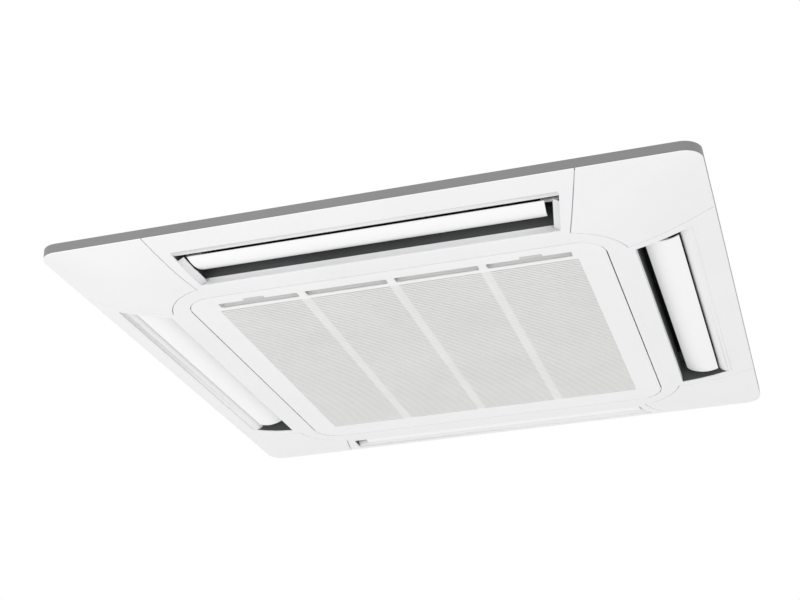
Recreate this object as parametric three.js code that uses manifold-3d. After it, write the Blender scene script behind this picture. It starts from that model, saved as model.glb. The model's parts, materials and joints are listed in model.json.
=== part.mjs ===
// Ceiling cassette air conditioner: a square panel with four air outlets around an intake
// grille, under an octagonal cabinet that stands in the ceiling void.
// Millimetres, +Z up. The origin is the panel's centre on the underside of the ceiling; the
// grille latches are on the -Y side and the pipes leave through the +X wall.
import * as THREE from 'three';
import { mergeVertices } from 'three/addons/utils/BufferGeometryUtils.js';
import Module from 'manifold-3d';

const wasm = await Module();
wasm.setup();

// ---- Driving dimensions -------------------------------------------------------------------

const seat = 0.3; // gap between pieces that rest against each other

// Panel, from below: a shallow crown that drops from the rim to a flat middle
const panelHalf = 475; // half of the 950 mm panel
const panelCornerRadius = 28;
const innerCornerRadius = 80; // corner radius of the crown where it turns flat
const cornerSteps = 4; // facets on a rounded corner
const rimHeight = 16; // ceiling to the panel's lower edge
const rimWall = 2.5;
const rimFlange = 23; // width of the rim's top flange
const rimFlangeThickness = 2;
const edgeThickness = 1.4; // white edge that shows under the rim
const panelDrop = 28; // lower edge to the flat middle
const crownPower = 1.57;
const crownFacets = 4;
const skinWall = 2.5;
const ribInset = 20; // perimeter rib, in from the panel's edge

// Air outlets in the panel, one on each side
const outletEdge = 35; // panel's edge to an outlet
const outletWidth = 84;
const outletCorner = 193; // panel's corner to an outlet's end
const outletTaper = 15; // the inner side is this much shorter at each end
const outletOuter = panelHalf - outletEdge;
const outletInner = outletOuter - outletWidth;
const outletOuterHalf = panelHalf - outletCorner;
const outletInnerHalf = outletOuterHalf - outletTaper;
const crownRun = 16; // the crown begins this far inside the outlets
const crownStart = outletInner - crownRun;
const lipWall = 2;
const lipDepth = 12; // white lip above the panel's face, along an outlet's sides
const endLipDepth = 2.5; // and at its ends
const lipThroat = outletOuter - 21.5; // inner edge of the curved outer lip
const lipEndLap = 0.4; // the curved lip runs this far into the end lips
const slopedLipReach = 9; // the near outlet's sloping end lips narrow it by this much
const slopedLipRise = 6;
const slopedLipWall = 1.6;
const lipRoot = 0.5; // the sloping lips start this deep in the upright ones

// Corner covers
const coverSeamOuter = outletOuterHalf + 28; // seam at the panel's edge, off the centre line
const coverSeamInner = outletInnerHalf + 13; // seam beside the outlet
const coverArcCentre = outletInner - 102.5;
const coverArcRadius = 97;
const coverRingInner = coverArcCentre + 52.5; // the cover's rings reach in to here, inside its arc
const coverSeamGap = 1.2;
const coverWall = 1.8;
const coverFloorWall = 2;
const coverFloorLap = 3; // floor over the panel's skin, all round the recess

// Intake grille
const grilleBand = 38; // outlet to the opening
const grilleOpening = outletInner - grilleBand; // half-width of the opening in the panel
const grilleOpeningRadius = 42;
const grilleGap = 1.5;
const grilleWall = 2.5;
const grilleSideHeight = 14; // face to the top of the side wall
const fieldHalfX = grilleOpening - 43;
const fieldNear = -grilleOpening + 51;
const fieldFar = grilleOpening - 48;
const slatPitch = 26.8;
const slatWidth = 14;
const slatDepth = 3;
const ribSpacing = 138;
const ribWidth = 14;
const ribHeight = 5.5;
const slotWidth = 16;
const slotNear = -grilleOpening + 26; // finger slots along the latch side
const slotFar = slotNear + slotWidth;
const slotEnd = fieldHalfX - 6;
const slotBridge = 12;
const slotDepth = 5; // plate to the floor above the finger slots
const slotFloorWall = 1.2;
const grillePinY = grilleOpening - 44;
const grillePinRise = 8; // above the panel's face
const socketEndWall = 2; // closes the outer end of each hinge socket
const grillePinRadius = 3;
const grillePinLength = 8;

// Latches
const latchX = slotEnd - 58;
const latchTabWidth = 30;
const latchTabDepth = 12;
const latchTravel = 8;
const latchTongueWidth = 14;
const latchTongueReach = 4; // hold over the panel's inner edge
const latchBodyDepth = 16;
const latchBodyHeight = 4.5;

// Filter
const filterInset = 7; // field to the filter's edge
const filterHalfX = fieldHalfX - filterInset;
const filterNear = fieldNear + filterInset;
const filterFar = fieldFar - filterInset;
const filterHeight = 6;
const filterFrame = 9;
const filterBar = 4;

// Flaps: the rest pose is the swung pose of the photograph
const flapEndGap = 6;
const flapHalf = outletInnerHalf - flapEndGap;
const flapShift = 3.5; // each blade sits this far off its outlet's middle, away from its motor
const flapInnerEdge = outletInner + 11;
const flapInnerDepth = 5.5;
const flapOuterEdge = outletOuter - 22;
const flapOuterDepth = 9.5;
const flapBulge = 6;
const flapThickness = 2.4;
const flapPivotOut = outletOuter - 44; // distance of the hinge line from the centre
const flapPivotDrop = 4; // hinge line above the panel's lower edge
const flapPinRadius = 3;
const flapEarX = flapHalf - flapShift - 8;
const flapEarThickness = 2.5;
const pinClearance = 0.35;

// Outlet ducts
const ductWall = 2;
const ductStraightTop = -1;
const ductPad = 5.8; // bearing pads outside the end walls
const ductWingTop = -12; // top of the end walls' wings, beside the curved lip

// Flap motors
const flapMotorRadius = 14;
const flapMotorLength = 19;
const flapMotorSocket = 6;

// Cabinet
const panelLap = 55; // panel's edge beyond the cabinet
const cabinetHalf = panelHalf - panelLap;
const cabinetChamfer = 150;
const cabinetBottom = 8;
const cabinetTop = 254;
const sheet = 1.5;
const linerWall = 12;
const linerTop = 10;

// Drain pan
const panTop = 60;
const panOpening = cabinetHalf - 158;
const panOpeningRadius = 60;
const panLedgeDrop = 22;
const panLedgeWidth = 10;
const passageWidth = 44; // air passages through the pan
const slotOuterEdge = cabinetHalf - 24;
const slotInnerEdge = slotOuterEdge - passageWidth;
const slotHalf = cabinetHalf - 170;
const troughFloor = 32;
const sumpFloor = 22;
const sumpX = cabinetHalf - cabinetChamfer + 5;
const sumpY = cabinetHalf - 95;
const sumpRadius = 28;

// Coil
const coilOuter = slotInnerEdge - 17;
const coilThickness = 38;
const coilRadius = 90;
const pipeCorner = 14; // gas pipe to the end of the flat wall
const headerY = cabinetHalf - cabinetChamfer - pipeCorner;
const coilEnd = headerY - 41; // the fins stop here on both sides of the pipe corner
const endPlate = 2;
const bendCount = 5;
const bendRadius = 4;
const bendReach = 20;
const stubRadius = 3.5;

// Pipes
const gasRadius = 7.94;
const liquidRadius = 4.76;
const gasPipeWall = 1;
const liquidPipeWall = 0.8;
const pipeBoreDepth = 40;
const pipeReach = 50; // beyond the cabinet wall
const gasPipeZ = 150;
const liquidPipeZ = 222;
const headerX = coilOuter - coilThickness / 2;
const headerRadius = 11;
const headerBottom = 66;
const headerTop = 205;
const liquidPipeY = headerY + 6;
const gasNutAcross = 29;
const liquidNutAcross = 22;
const nutLength = 18;

// Fan and motor
const fanGap = 67; // fan to coil
const fanRadius = coilOuter - coilThickness - fanGap;
const fanInlet = fanRadius - 57;
const fanBottom = 66;
const fanTop = 211;
const fanBlades = 7;
const fanBoreClearance = 0.3;
const shaftRadius = 6;
const shaftBottom = 96;
const shaftTop = 160;
const hubBottom = 108;
const hubTop = 134;
const motorRadius = 66;
const motorBottom = 140;
const motorTop = 228;
const motorFlange = 84;
const motorFlangeThickness = 6;
const bracketRadius = 90;
const bracketFoot = 12;

// Bell mouth
const bellThroat = fanInlet - 7;
const bellMouth = panOpening - 48;
const bellTop = 71;
const bellWall = 2;

// Control box
const boxHalfX = 150;
const boxFar = panOpening - 12;
const boxNear = boxFar - 45;
const boxBottom = -10;
const boxWall = 1.2;
const coverLip = 8;

// Drain pump, float switch and drain
const pumpChamberRadius = 19;
const pumpMotorRadius = 23;
const pumpMotorTop = 108;
const pumpPlate = 2;
const impellerRadius = 13;
const floatX = sumpX + 34;
const floatY = sumpY - 20;
const floatRadius = 12;
const floatHeight = 12;
const floatTravel = 12; // float's top reaches the pan's rim
const stemRadius = 3;
const drainX = headerY - 13;
const drainZ = 180;
const drainRadius = 16;
const drainBore = 12.5;
const drainReach = 35;
const hoseRadius = 9;

// Hangers: the suspension bolts stand at (+-390, +-340)
const hangerX = cabinetHalf - 30;
const hangerY = cabinetHalf - 80;
const hangerZ = 150;
const hangerPlate = 3;
const hangerSlot = 12;
const hangerMargin = 28;

// Panel bolts
const boltPlace = cabinetHalf - cabinetChamfer / 2 - 5;
const boltRadius = 3;
const boltHeadRadius = 6;
const boltHeadHeight = 5;
const boltEngage = 10;
const sleeveRadius = 11;
const sleeveWall = 3;

// Sizes that follow from those above
const nearTurns = 2; // quarter turns from the far side to the near one
const sideLipHalf = outletInnerHalf - 1;
const edgeZ = -rimHeight;
const faceZ = edgeZ - panelDrop;
const pivotZ = edgeZ + flapPivotDrop;
const grilleHalf = grilleOpening - grilleGap;
const grilleRadius = grilleOpeningRadius - grilleGap;
const plateTopZ = faceZ + grilleWall;
const filterBottomZ = plateTopZ + ribHeight + seat;
const ductTopZ = cabinetBottom - seat;
const linerInner = cabinetHalf - sheet - seat - linerWall;
const coilInner = coilOuter - coilThickness;
const coilTopZ = cabinetTop - sheet - seat - linerTop - seat;
const bellPlateTop = panTop - panLedgeDrop - seat;
const bendFirst = troughFloor + 30;
const bendPitch = (coilTopZ - bendFirst - 10) / bendCount;

// ---- Solid helpers ------------------------------------------------------------------------

// Turns a closed BufferGeometry into a solid, with its faces pointing out.
function solid(geometry) {
  let shape = geometry;
  if (!geometry.userData.joined) {
    shape = geometry.clone();
    shape.deleteAttribute('normal');
    shape.deleteAttribute('uv');
    shape = mergeVertices(shape);
  }
  const points = shape.attributes.position.array;
  const corners = shape.index.array;
  const kept = [];
  let volume = 0;
  for (let i = 0; i < corners.length; i += 3) {
    const [a, b, c] = [corners[i], corners[i + 1], corners[i + 2]];
    if (a === b || b === c || a === c) continue;
    kept.push(a, b, c);
    const p = new THREE.Vector3().fromArray(points, 3 * a);
    const q = new THREE.Vector3().fromArray(points, 3 * b);
    const r = new THREE.Vector3().fromArray(points, 3 * c);
    volume += p.dot(q.cross(r));
  }
  if (volume < 0) kept.reverse();
  return new wasm.Manifold(new wasm.Mesh({
    numProp: 3,
    vertProperties: new Float32Array(points),
    triVerts: new Uint32Array(kept),
  }));
}

function geometryOf(manifold) {
  const mesh = manifold.getMesh();
  const geometry = new THREE.BufferGeometry();
  geometry.setAttribute('position', new THREE.BufferAttribute(new Float32Array(mesh.vertProperties), 3));
  geometry.setIndex(new THREE.BufferAttribute(new Uint32Array(mesh.triVerts), 1));
  geometry.userData.joined = true;
  return geometry;
}

function fuse(...shapes) {
  return geometryOf(shapes.flat().map(solid).reduce((a, b) => a.add(b)));
}

function cut(base, ...tools) {
  return geometryOf(tools.flat().map(solid).reduce((a, b) => a.subtract(b), solid(base)));
}

function common(a, b) {
  return geometryOf(solid(a).intersect(solid(b)));
}

function quarter(geometry, turns) {
  const copy = geometry.clone();
  copy.userData.joined = geometry.userData.joined;
  return copy.rotateZ(turns * Math.PI / 2);
}

function fourTimes(geometry) {
  return [0, 1, 2, 3].map((turns) => quarter(geometry, turns));
}

// ---- Shape helpers ------------------------------------------------------------------------

function block(x0, x1, y0, y1, z0, z1) {
  const box = new THREE.BoxGeometry(x1 - x0, y1 - y0, z1 - z0);
  return box.translate((x0 + x1) / 2, (y0 + y1) / 2, (z0 + z1) / 2);
}

function prism(points, z0, z1) {
  const outline = new THREE.Shape(points.map(([x, y]) => new THREE.Vector2(x, y)));
  const body = new THREE.ExtrudeGeometry(outline, { depth: z1 - z0, bevelEnabled: false });
  return body.translate(0, 0, z0);
}

// A section drawn in the Y-Z plane and drawn out along X.
function barAlongX(section, x0, x1) {
  const body = prism(section, x0, x1);
  const turn = new THREE.Matrix4().makeBasis(
    new THREE.Vector3(0, 1, 0),
    new THREE.Vector3(0, 0, 1),
    new THREE.Vector3(1, 0, 0),
  );
  return body.applyMatrix4(turn);
}

function rod(x, y, radius, z0, z1, sides = 16) {
  const body = new THREE.CylinderGeometry(radius, radius, z1 - z0, sides);
  return body.rotateX(Math.PI / 2).translate(x, y, (z0 + z1) / 2);
}

function rodAlongX(y, z, radius, x0, x1, sides = 12) {
  const body = new THREE.CylinderGeometry(radius, radius, x1 - x0, sides);
  return body.rotateZ(Math.PI / 2).translate((x0 + x1) / 2, y, z);
}

function rodAlongY(x, z, radius, y0, y1, sides = 12) {
  const body = new THREE.CylinderGeometry(radius, radius, y1 - y0, sides);
  return body.translate(x, (y0 + y1) / 2, z);
}

function turned(profile, sides = 28) {
  const points = profile.map(([r, z]) => new THREE.Vector2(r, z));
  return new THREE.LatheGeometry(points, sides).rotateX(Math.PI / 2);
}

function hexagon(x, y, across, z0, z1) {
  return rod(x, y, across / Math.sqrt(3), z0, z1, 6);
}

function tubeAlong(points, radius, steps, sides = 8) {
  const route = new THREE.CatmullRomCurve3(points.map(([x, y, z]) => new THREE.Vector3(x, y, z)));
  const ring = new THREE.Shape();
  ring.absarc(0, 0, radius, 0, 2 * Math.PI);
  return new THREE.ExtrudeGeometry(ring, { steps, curveSegments: sides / 2, extrudePath: route });
}

// Outline of a square with rounded corners, as points in order.
function roundedSquare(half, radius, steps = cornerSteps) {
  const points = [];
  const centre = half - radius;
  for (let corner = 0; corner < 4; corner += 1) {
    const [sx, sy] = [[1, 1], [-1, 1], [-1, -1], [1, -1]][corner];
    for (let i = 0; i <= steps; i += 1) {
      const angle = (corner + i / steps) * Math.PI / 2;
      points.push([sx * centre + radius * Math.cos(angle), sy * centre + radius * Math.sin(angle)]);
    }
  }
  return points;
}

// A ring that follows the rounded square: each section point is
// [distance from the centre, height, corner radius].
function squareRing(section, steps = cornerSteps) {
  const loops = section.map(([half, z, radius]) => {
    return roundedSquare(half, radius, steps).map(([x, y]) => [x, y, z]);
  });
  const count = loops[0].length;
  const index = [];
  loops.forEach((loop, i) => {
    const next = (i + 1) % loops.length;
    for (let j = 0; j < count; j += 1) {
      const k = (j + 1) % count;
      index.push(i * count + j, next * count + j, next * count + k);
      index.push(i * count + j, next * count + k, i * count + k);
    }
  });
  const ring = new THREE.BufferGeometry();
  ring.setAttribute('position', new THREE.Float32BufferAttribute(loops.flat(2), 3));
  ring.setIndex(index);
  return ring;
}

// A solid between two four-cornered sections, each a list of four [x, y, z].
function loft(lower, upper) {
  const faces = [[0, 1, 2, 3], [7, 6, 5, 4], [0, 4, 5, 1], [1, 5, 6, 2], [2, 6, 7, 3], [3, 7, 4, 0]];
  const body = new THREE.BufferGeometry();
  body.setAttribute('position', new THREE.Float32BufferAttribute([...lower, ...upper].flat(), 3));
  body.setIndex(faces.flatMap(([a, b, c, d]) => [a, b, c, a, c, d]));
  return body;
}

function octagon(half, chamfer) {
  const short = half - chamfer;
  return [
    [half, -short], [half, short], [short, half], [-short, half],
    [-half, short], [-half, -short], [-short, -half], [short, -half],
  ];
}

// The cabinet's outline, set in by a distance on all eight walls.
function cabinetOutline(inset) {
  return octagon(cabinetHalf - inset, cabinetChamfer - inset * (2 - Math.SQRT2));
}

function finish(color, roughness, metalness = 0) {
  return new THREE.MeshStandardMaterial({ color, roughness, metalness, flatShading: true });
}

const assembly = new THREE.Group();

function add(name, shape, material, turns = 0) {
  const geometry = shape.userData.joined ? shape : geometryOf(solid(shape));
  const mesh = new THREE.Mesh(geometry, material);
  mesh.name = name;
  mesh.rotation.z = turns * Math.PI / 2;
  assembly.add(mesh);
}

// ---- Panel surface ------------------------------------------------------------------------

// Distances from the centre at which the face changes slope.
const faceBreaks = [grilleOpening, crownStart, outletInner];
for (let i = 1; i <= crownFacets; i += 1) {
  faceBreaks.push(outletInner + (panelHalf - outletInner) * i / crownFacets);
}

function crownHeight(half) {
  const out = Math.max(0, half - crownStart) / (panelHalf - crownStart);
  return edgeZ - panelDrop * (1 - out ** crownPower);
}

// Height of the panel's visible face, straight between the breaks.
function faceHeight(half) {
  const last = faceBreaks.length - 1;
  const next = Math.min(last, Math.max(1, faceBreaks.findIndex((edge) => edge >= half)));
  const i = half > faceBreaks[last] ? last : next;
  const [a, b] = [faceBreaks[i - 1], faceBreaks[i]];
  return crownHeight(a) + (crownHeight(b) - crownHeight(a)) * (half - a) / (b - a);
}

function faceRadius(half) {
  if (half > outletInner) {
    const t = (half - outletInner) / (panelHalf - outletInner);
    return innerCornerRadius + t * (panelCornerRadius - innerCornerRadius);
  }
  const t = (half - grilleOpening) / (outletInner - grilleOpening);
  return grilleOpeningRadius + t * (innerCornerRadius - grilleOpeningRadius);
}

// A ring of the panel between two heights above its face.
function faceRing(outer, inner, below, above, ceiling = 0) {
  const between = faceBreaks.filter((half) => half < outer - 0.01 && half > inner + 0.01);
  const distances = [outer, ...between.reverse(), inner];
  const lower = distances.map((half) => [half, faceHeight(half) + below, faceRadius(half)]);
  const upper = distances.map((half) => [
    half,
    Math.min(faceHeight(half) + above, ceiling),
    faceRadius(half),
  ]);
  return squareRing([...lower, ...upper.reverse()]);
}

// Plan of one outlet on the far side, grown by a margin.
function outletPlan(grow) {
  const slope = (outletOuterHalf - outletInnerHalf) / (outletOuter - outletInner);
  const outer = outletOuter + grow;
  const inner = outletInner - grow;
  const outerHalf = outletOuterHalf + grow * (1 + slope);
  const innerHalf = outletInnerHalf + grow * (1 - slope);
  return [[outerHalf, outer], [-outerHalf, outer], [-innerHalf, inner], [innerHalf, inner]];
}

function outletHalfAt(distance) {
  const t = (distance - outletInner) / (outletOuter - outletInner);
  return outletInnerHalf + t * (outletOuterHalf - outletInnerHalf);
}

// Plan of the corner cover at (+x, +y), drawn in from its seams by a margin.
function coverPlan(inset) {
  const slope = (coverSeamOuter - coverSeamInner) / (panelHalf - outletInner);
  const shift = inset * Math.hypot(1, slope);
  const seamX = (y) => coverSeamInner + shift + slope * (y - outletInner);
  const radius = coverArcRadius + inset;
  // Where the seam meets the arc around the grille's corner
  const a = 1 + slope * slope;
  const start = seamX(coverArcCentre) - coverArcCentre;
  const b = 2 * slope * start;
  const c = start * start - radius * radius;
  const rise = (-b + Math.sqrt(b * b - 4 * a * c)) / (2 * a);
  const first = Math.atan2(rise, start + slope * rise);
  const last = Math.PI / 2 - first;
  const steps = 7;
  const points = [];
  for (let i = 0; i <= steps; i += 1) {
    const angle = first + (last - first) * i / steps;
    points.push([coverArcCentre + radius * Math.cos(angle), coverArcCentre + radius * Math.sin(angle)]);
  }
  const far = panelHalf + 10;
  return [...points, [far, seamX(far)], [far, far], [seamX(far), far]];
}

// Curved lip that closes the outer side of an outlet, far side.
function outerLip() {
  const steps = 5;
  const start = new THREE.Vector2(outletOuter + lipWall, faceHeight(outletOuter + lipWall));
  const bend = new THREE.Vector2(lipThroat + 3, faceHeight(lipThroat) + 4);
  const end = new THREE.Vector2(lipThroat, edgeZ);
  const visible = new THREE.QuadraticBezierCurve(start, bend, end).getPoints(steps);
  const hidden = visible.map((p, i) => {
    const t = i / steps;
    return [p.x + lipWall * t, p.y + lipWall * (1 - t) + 0.1];
  });
  const section = [...visible.map((p) => [p.x, p.y]), ...hidden.reverse()];
  const reach = outletOuterHalf + lipWall;
  const [outer, inner] = [outletOuter + lipWall, lipThroat - 1];
  const [outerEnd, innerEnd] = [outer, inner].map((y) => outletHalfAt(y) + lipEndLap);
  const plan = [[outerEnd, outer], [-outerEnd, outer], [-innerEnd, inner], [innerEnd, inner]];
  return common(barAlongX(section, -reach, reach), prism(plan, faceZ, 0));
}

// Upright lips around an outlet, above the panel's face: deep along the sides and low at the ends.
function uprightLips() {
  const wall = cut(prism(outletPlan(lipWall), faceZ - 1, 0), prism(outletPlan(0), faceZ - 2, 1));
  const outer = outletOuter + 2 * lipWall;
  const inner = outletInner - 2 * lipWall;
  const low = common(wall, faceRing(outer, inner, 0.2, endLipDepth, edgeZ));
  const deep = common(wall, faceRing(outer, inner, 0.2, lipDepth, edgeZ));
  return fuse(low, common(deep, block(-sideLipHalf, sideLipHalf, inner, outer, faceZ, 0)));
}

// Sloping lips across an outlet's two ends, far side. Each is a leaning wall with its foot in the
// upright lip at the panel's face.
function slopedLips() {
  const pieces = [];
  const stations = 4;
  const first = outletInner + lipRoot;
  const section = (side, t) => {
    const y = first + (lipThroat + lipRoot - first) * t;
    const foot = side * (outletHalfAt(y) + lipRoot);
    const top = side * (outletHalfAt(y) - slopedLipReach);
    const z = faceHeight(y);
    return [
      [foot, y, z + slopedLipWall / 4],
      [top, y, z + slopedLipRise],
      [top, y, z + slopedLipRise + slopedLipWall],
      [foot, y, z + endLipDepth - seat],
    ];
  };
  for (const side of [-1, 1]) {
    for (let i = 0; i < stations; i += 1) {
      pieces.push(loft(section(side, i / stations), section(side, (i + 1) / stations)));
    }
  }
  return fuse(pieces);
}

// White moulding that carries everything on the panel.
function panelFrame() {
  const edgeTop = edgeZ + edgeThickness;
  const skin = faceRing(panelHalf, grilleOpening, 0, skinWall, edgeTop);
  const ribOuter = panelHalf - ribInset + skinWall;
  const rib = squareRing([
    [ribOuter, faceHeight(ribOuter) + 1, faceRadius(ribOuter)],
    [ribOuter, -rimFlangeThickness - seat, faceRadius(ribOuter)],
    [ribOuter - skinWall, -rimFlangeThickness - seat, faceRadius(ribOuter)],
    [ribOuter - skinWall, faceHeight(ribOuter) + 1, faceRadius(ribOuter)],
  ]);
  const holes = fourTimes(prism(outletPlan(0), faceZ - 1, 0));
  const collarHalf = crownStart - 8;
  const collarRadius = grilleOpeningRadius + 14;
  const collar = squareRing([
    [collarHalf + skinWall, faceZ + 1, collarRadius + skinWall],
    [collarHalf + skinWall, ductTopZ, collarRadius + skinWall],
    [collarHalf, ductTopZ, collarRadius],
    [collarHalf, faceZ + 1, collarRadius],
  ]);
  let frame = fuse(skin, rib);
  frame = cut(frame, holes);
  const lips = [...fourTimes(uprightLips()), ...fourTimes(outerLip()), quarter(slopedLips(), nearTurns)];
  frame = fuse(frame, lips, collar);

  // Recess under each corner cover: its floor lies just above the cover
  const floorLow = coverWall + seat;
  const floorHigh = floorLow + coverFloorWall;
  const floorOuter = panelHalf - rimWall - seat;
  const floor = faceRing(floorOuter, coverRingInner, floorLow, floorHigh, edgeTop);
  const recess = common(floor, prism(coverPlan(-coverFloorLap), faceZ - 1, 0));

  // Bolt sleeves rise from the recess floors to the cabinet
  const sleeve = rod(boltPlace, boltPlace, sleeveRadius, faceZ, ductTopZ, 12);
  const well = rod(boltPlace, boltPlace, sleeveRadius - sleeveWall, faceZ - 1, ductTopZ - sleeveWall, 10);
  const hole = rod(boltPlace, boltPlace, boltRadius + pinClearance, faceZ, ductTopZ + 1, 8);
  const opening = prism(coverPlan(0), faceZ - 1, 0);
  const belowFloor = faceRing(panelHalf + 1, coverRingInner, -panelDrop, floorLow);
  frame = fuse(frame, fourTimes(sleeve));
  frame = cut(frame, fourTimes(common(opening, belowFloor)));
  frame = fuse(frame, fourTimes(recess));
  frame = cut(frame, fourTimes(well), fourTimes(hole));

  // Sockets for the grille's hinge pins, inside the collar
  const pinZ = faceZ + grillePinRise;
  const socketFoot = faceZ + 1;
  for (const side of [-1, 1]) {
    const near = grilleOpening + 0.5;
    const far = collarHalf + 1;
    const [x0, x1] = side > 0 ? [near, far] : [-far, -near];
    const socket = block(x0, x1, grillePinY - 7, grillePinY + 7, socketFoot, pinZ + 6);
    const blind = far - socketEndWall;
    const [b0, b1] = side > 0 ? [near - 1, blind] : [-blind, 1 - near];
    const bore = rodAlongX(grillePinY, pinZ, grillePinRadius + pinClearance, b0, b1);
    frame = cut(fuse(frame, socket), bore);
  }
  return frame;
}

// Grey L-shaped band around the panel, between the white edge and the ceiling.
function rimBand() {
  const bottom = edgeZ + edgeThickness + seat;
  const inner = panelHalf - rimWall;
  const flange = panelHalf - rimFlange;
  const at = (half, z) => [half, z, panelCornerRadius - (panelHalf - half)];
  return squareRing([
    at(panelHalf, 0),
    at(panelHalf, bottom),
    at(inner, bottom),
    at(inner, -rimFlangeThickness),
    at(flange, -rimFlangeThickness),
    at(flange, 0),
  ]);
}

function cornerCover() {
  const edgeTop = edgeZ + edgeThickness;
  const skin = faceRing(panelHalf, coverRingInner, 0, coverWall, edgeTop);
  return common(skin, prism(coverPlan(coverSeamGap), faceZ - 1, 0));
}

// ---- Flap, flap motor and duct, drawn for the far side ------------------------------------

// Height of the flap's visible surface, an arc over its chord that bulges down.
function flapSection() {
  const inner = new THREE.Vector2(flapInnerEdge, edgeZ - flapInnerDepth);
  const outer = new THREE.Vector2(flapOuterEdge, edgeZ - flapOuterDepth);
  const steps = 6;
  const lower = [];
  const upper = [];
  for (let i = 0; i <= steps; i += 1) {
    const t = i / steps;
    const arch = 4 * t * (1 - t);
    const point = inner.clone().lerp(outer, t);
    const thickness = 1 + (flapThickness - 1) * arch;
    lower.push([point.x, point.y - flapBulge * arch]);
    upper.push([point.x, point.y - flapBulge * arch + thickness]);
  }
  return [...lower, ...upper.reverse()];
}

// The flap of an outlet whose motor is at the end given by motorSide, 1 or -1.
function flap(motorSide) {
  const shift = -motorSide * flapShift;
  const blade = barAlongX(flapSection(), shift - flapHalf, shift + flapHalf);
  const round = 8;
  const innerHalf = flapHalf - 4;
  const plan = [
    [flapHalf, flapOuterEdge + 1],
    [-flapHalf, flapOuterEdge + 1],
    [-innerHalf, flapInnerEdge + round],
    [-innerHalf + round / 3, flapInnerEdge + round / 3],
    [-innerHalf + round, flapInnerEdge - 1],
    [innerHalf - round, flapInnerEdge - 1],
    [innerHalf - round / 3, flapInnerEdge + round / 3],
    [innerHalf, flapInnerEdge + round],
  ];
  const trimmed = common(blade, prism(plan.map(([x, y]) => [x + shift, y]), faceZ, 0));
  const middle = (flapInnerEdge + flapOuterEdge) / 2;
  const bladeZ = edgeZ - (flapInnerDepth + flapOuterDepth) / 2 - flapBulge + 1.5;
  const ear = [
    [flapPivotOut - 5, pivotZ], [middle - 10, bladeZ], [middle + 10, bladeZ],
    [flapPivotOut + 5, pivotZ], [flapPivotOut + 3, pivotZ + 5], [flapPivotOut - 3, pivotZ + 5],
  ];
  const parts = [trimmed];
  const pinEnd = outletHalfAt(flapPivotOut) + ductPad + flapMotorSocket - 1;
  for (const side of [-1, 1]) {
    const ends = [side * flapEarX, side * (flapEarX + flapEarThickness)].sort((a, b) => a - b);
    parts.push(barAlongX(ear, ends[0], ends[1]));
    const pin = [side * (flapEarX + 1), side * pinEnd].sort((a, b) => a - b);
    parts.push(rodAlongX(flapPivotOut, pivotZ, flapPinRadius, pin[0], pin[1]));
  }
  return fuse(parts);
}

function ductPlan(outer, inner, outerHalf, innerHalf, z) {
  return [[-innerHalf, inner, z], [innerHalf, inner, z], [outerHalf, outer, z], [-outerHalf, outer, z]];
}

// Tapered channel: straight past the flap, then narrowing to the pan's air passage.
function ductBody(grow) {
  const low = faceZ;
  const straight = (z) => ductPlan(
    lipThroat + grow,
    outletInner - grow,
    outletHalfAt(lipThroat) + grow,
    outletHalfAt(outletInner) + grow,
    z,
  );
  const neck = (z) => ductPlan(
    slotOuterEdge + grow,
    slotInnerEdge - grow + ductWall,
    slotHalf + grow,
    slotHalf + grow,
    z,
  );
  const top = grow > 0 ? ductTopZ : ductTopZ + 1;
  const neckInner = slotInnerEdge + ductWall;
  return fuse(
    loft(straight(grow > 0 ? low : low - 1), straight(ductStraightTop)),
    loft(straight(ductStraightTop), neck(ductTopZ)),
    grow > 0 ? [] : block(-slotHalf, slotHalf, neckInner, slotOuterEdge, ductTopZ - 0.01, top),
  );
}

// An end wall's wing, which closes the outlet's end beside the curved outer lip.
function ductWing(side) {
  const [near, far] = [lipThroat - 14, outletOuter + lipWall];
  const section = (z) => [
    [side * (outletHalfAt(near) + lipEndLap + seat), near, z],
    [side * (outletHalfAt(near) + ductWall), near, z],
    [side * (outletHalfAt(far) + ductWall), far, z],
    [side * (outletHalfAt(far) + lipEndLap + seat), far, z],
  ];
  return side > 0 ? loft(section(faceZ), section(ductWingTop)) : loft(section(ductWingTop), section(faceZ));
}

function outletDuct() {
  const padX = outletHalfAt(flapPivotOut);
  const padTop = padX + ductPad;
  const shell = ductBody(ductWall);
  const pads = [-1, 1].map((side) => {
    const [x0, x1] = side > 0 ? [padX - 2, padTop] : [-padTop, -padX + 2];
    return block(x0, x1, flapPivotOut - 9, flapPivotOut + 9, pivotZ - 9, ductStraightTop - 2);
  });
  const bores = rodAlongX(flapPivotOut, pivotZ, flapPinRadius + pinClearance, -padTop - 1, padTop + 1);
  const [outer, inner] = [outletOuter + 20, outletInner - 20];
  const belowEndLips = faceRing(outer, inner, -panelDrop, endLipDepth + seat, edgeZ + seat);
  const belowSideLips = common(
    faceRing(outer, inner, -panelDrop, lipDepth + seat, edgeZ + seat),
    block(-sideLipHalf - seat, sideLipHalf + seat, inner, outer, faceZ - 1, 0),
  );
  const belowOuterLip = block(-400, 400, lipThroat - 12, outletOuter + 20, faceZ - 2, edgeZ + 2 * seat);
  const channel = cut(fuse(shell, pads), ductBody(0), bores, belowOuterLip);
  return cut(fuse(channel, ductWing(-1), ductWing(1)), belowEndLips, belowSideLips);
}

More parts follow.
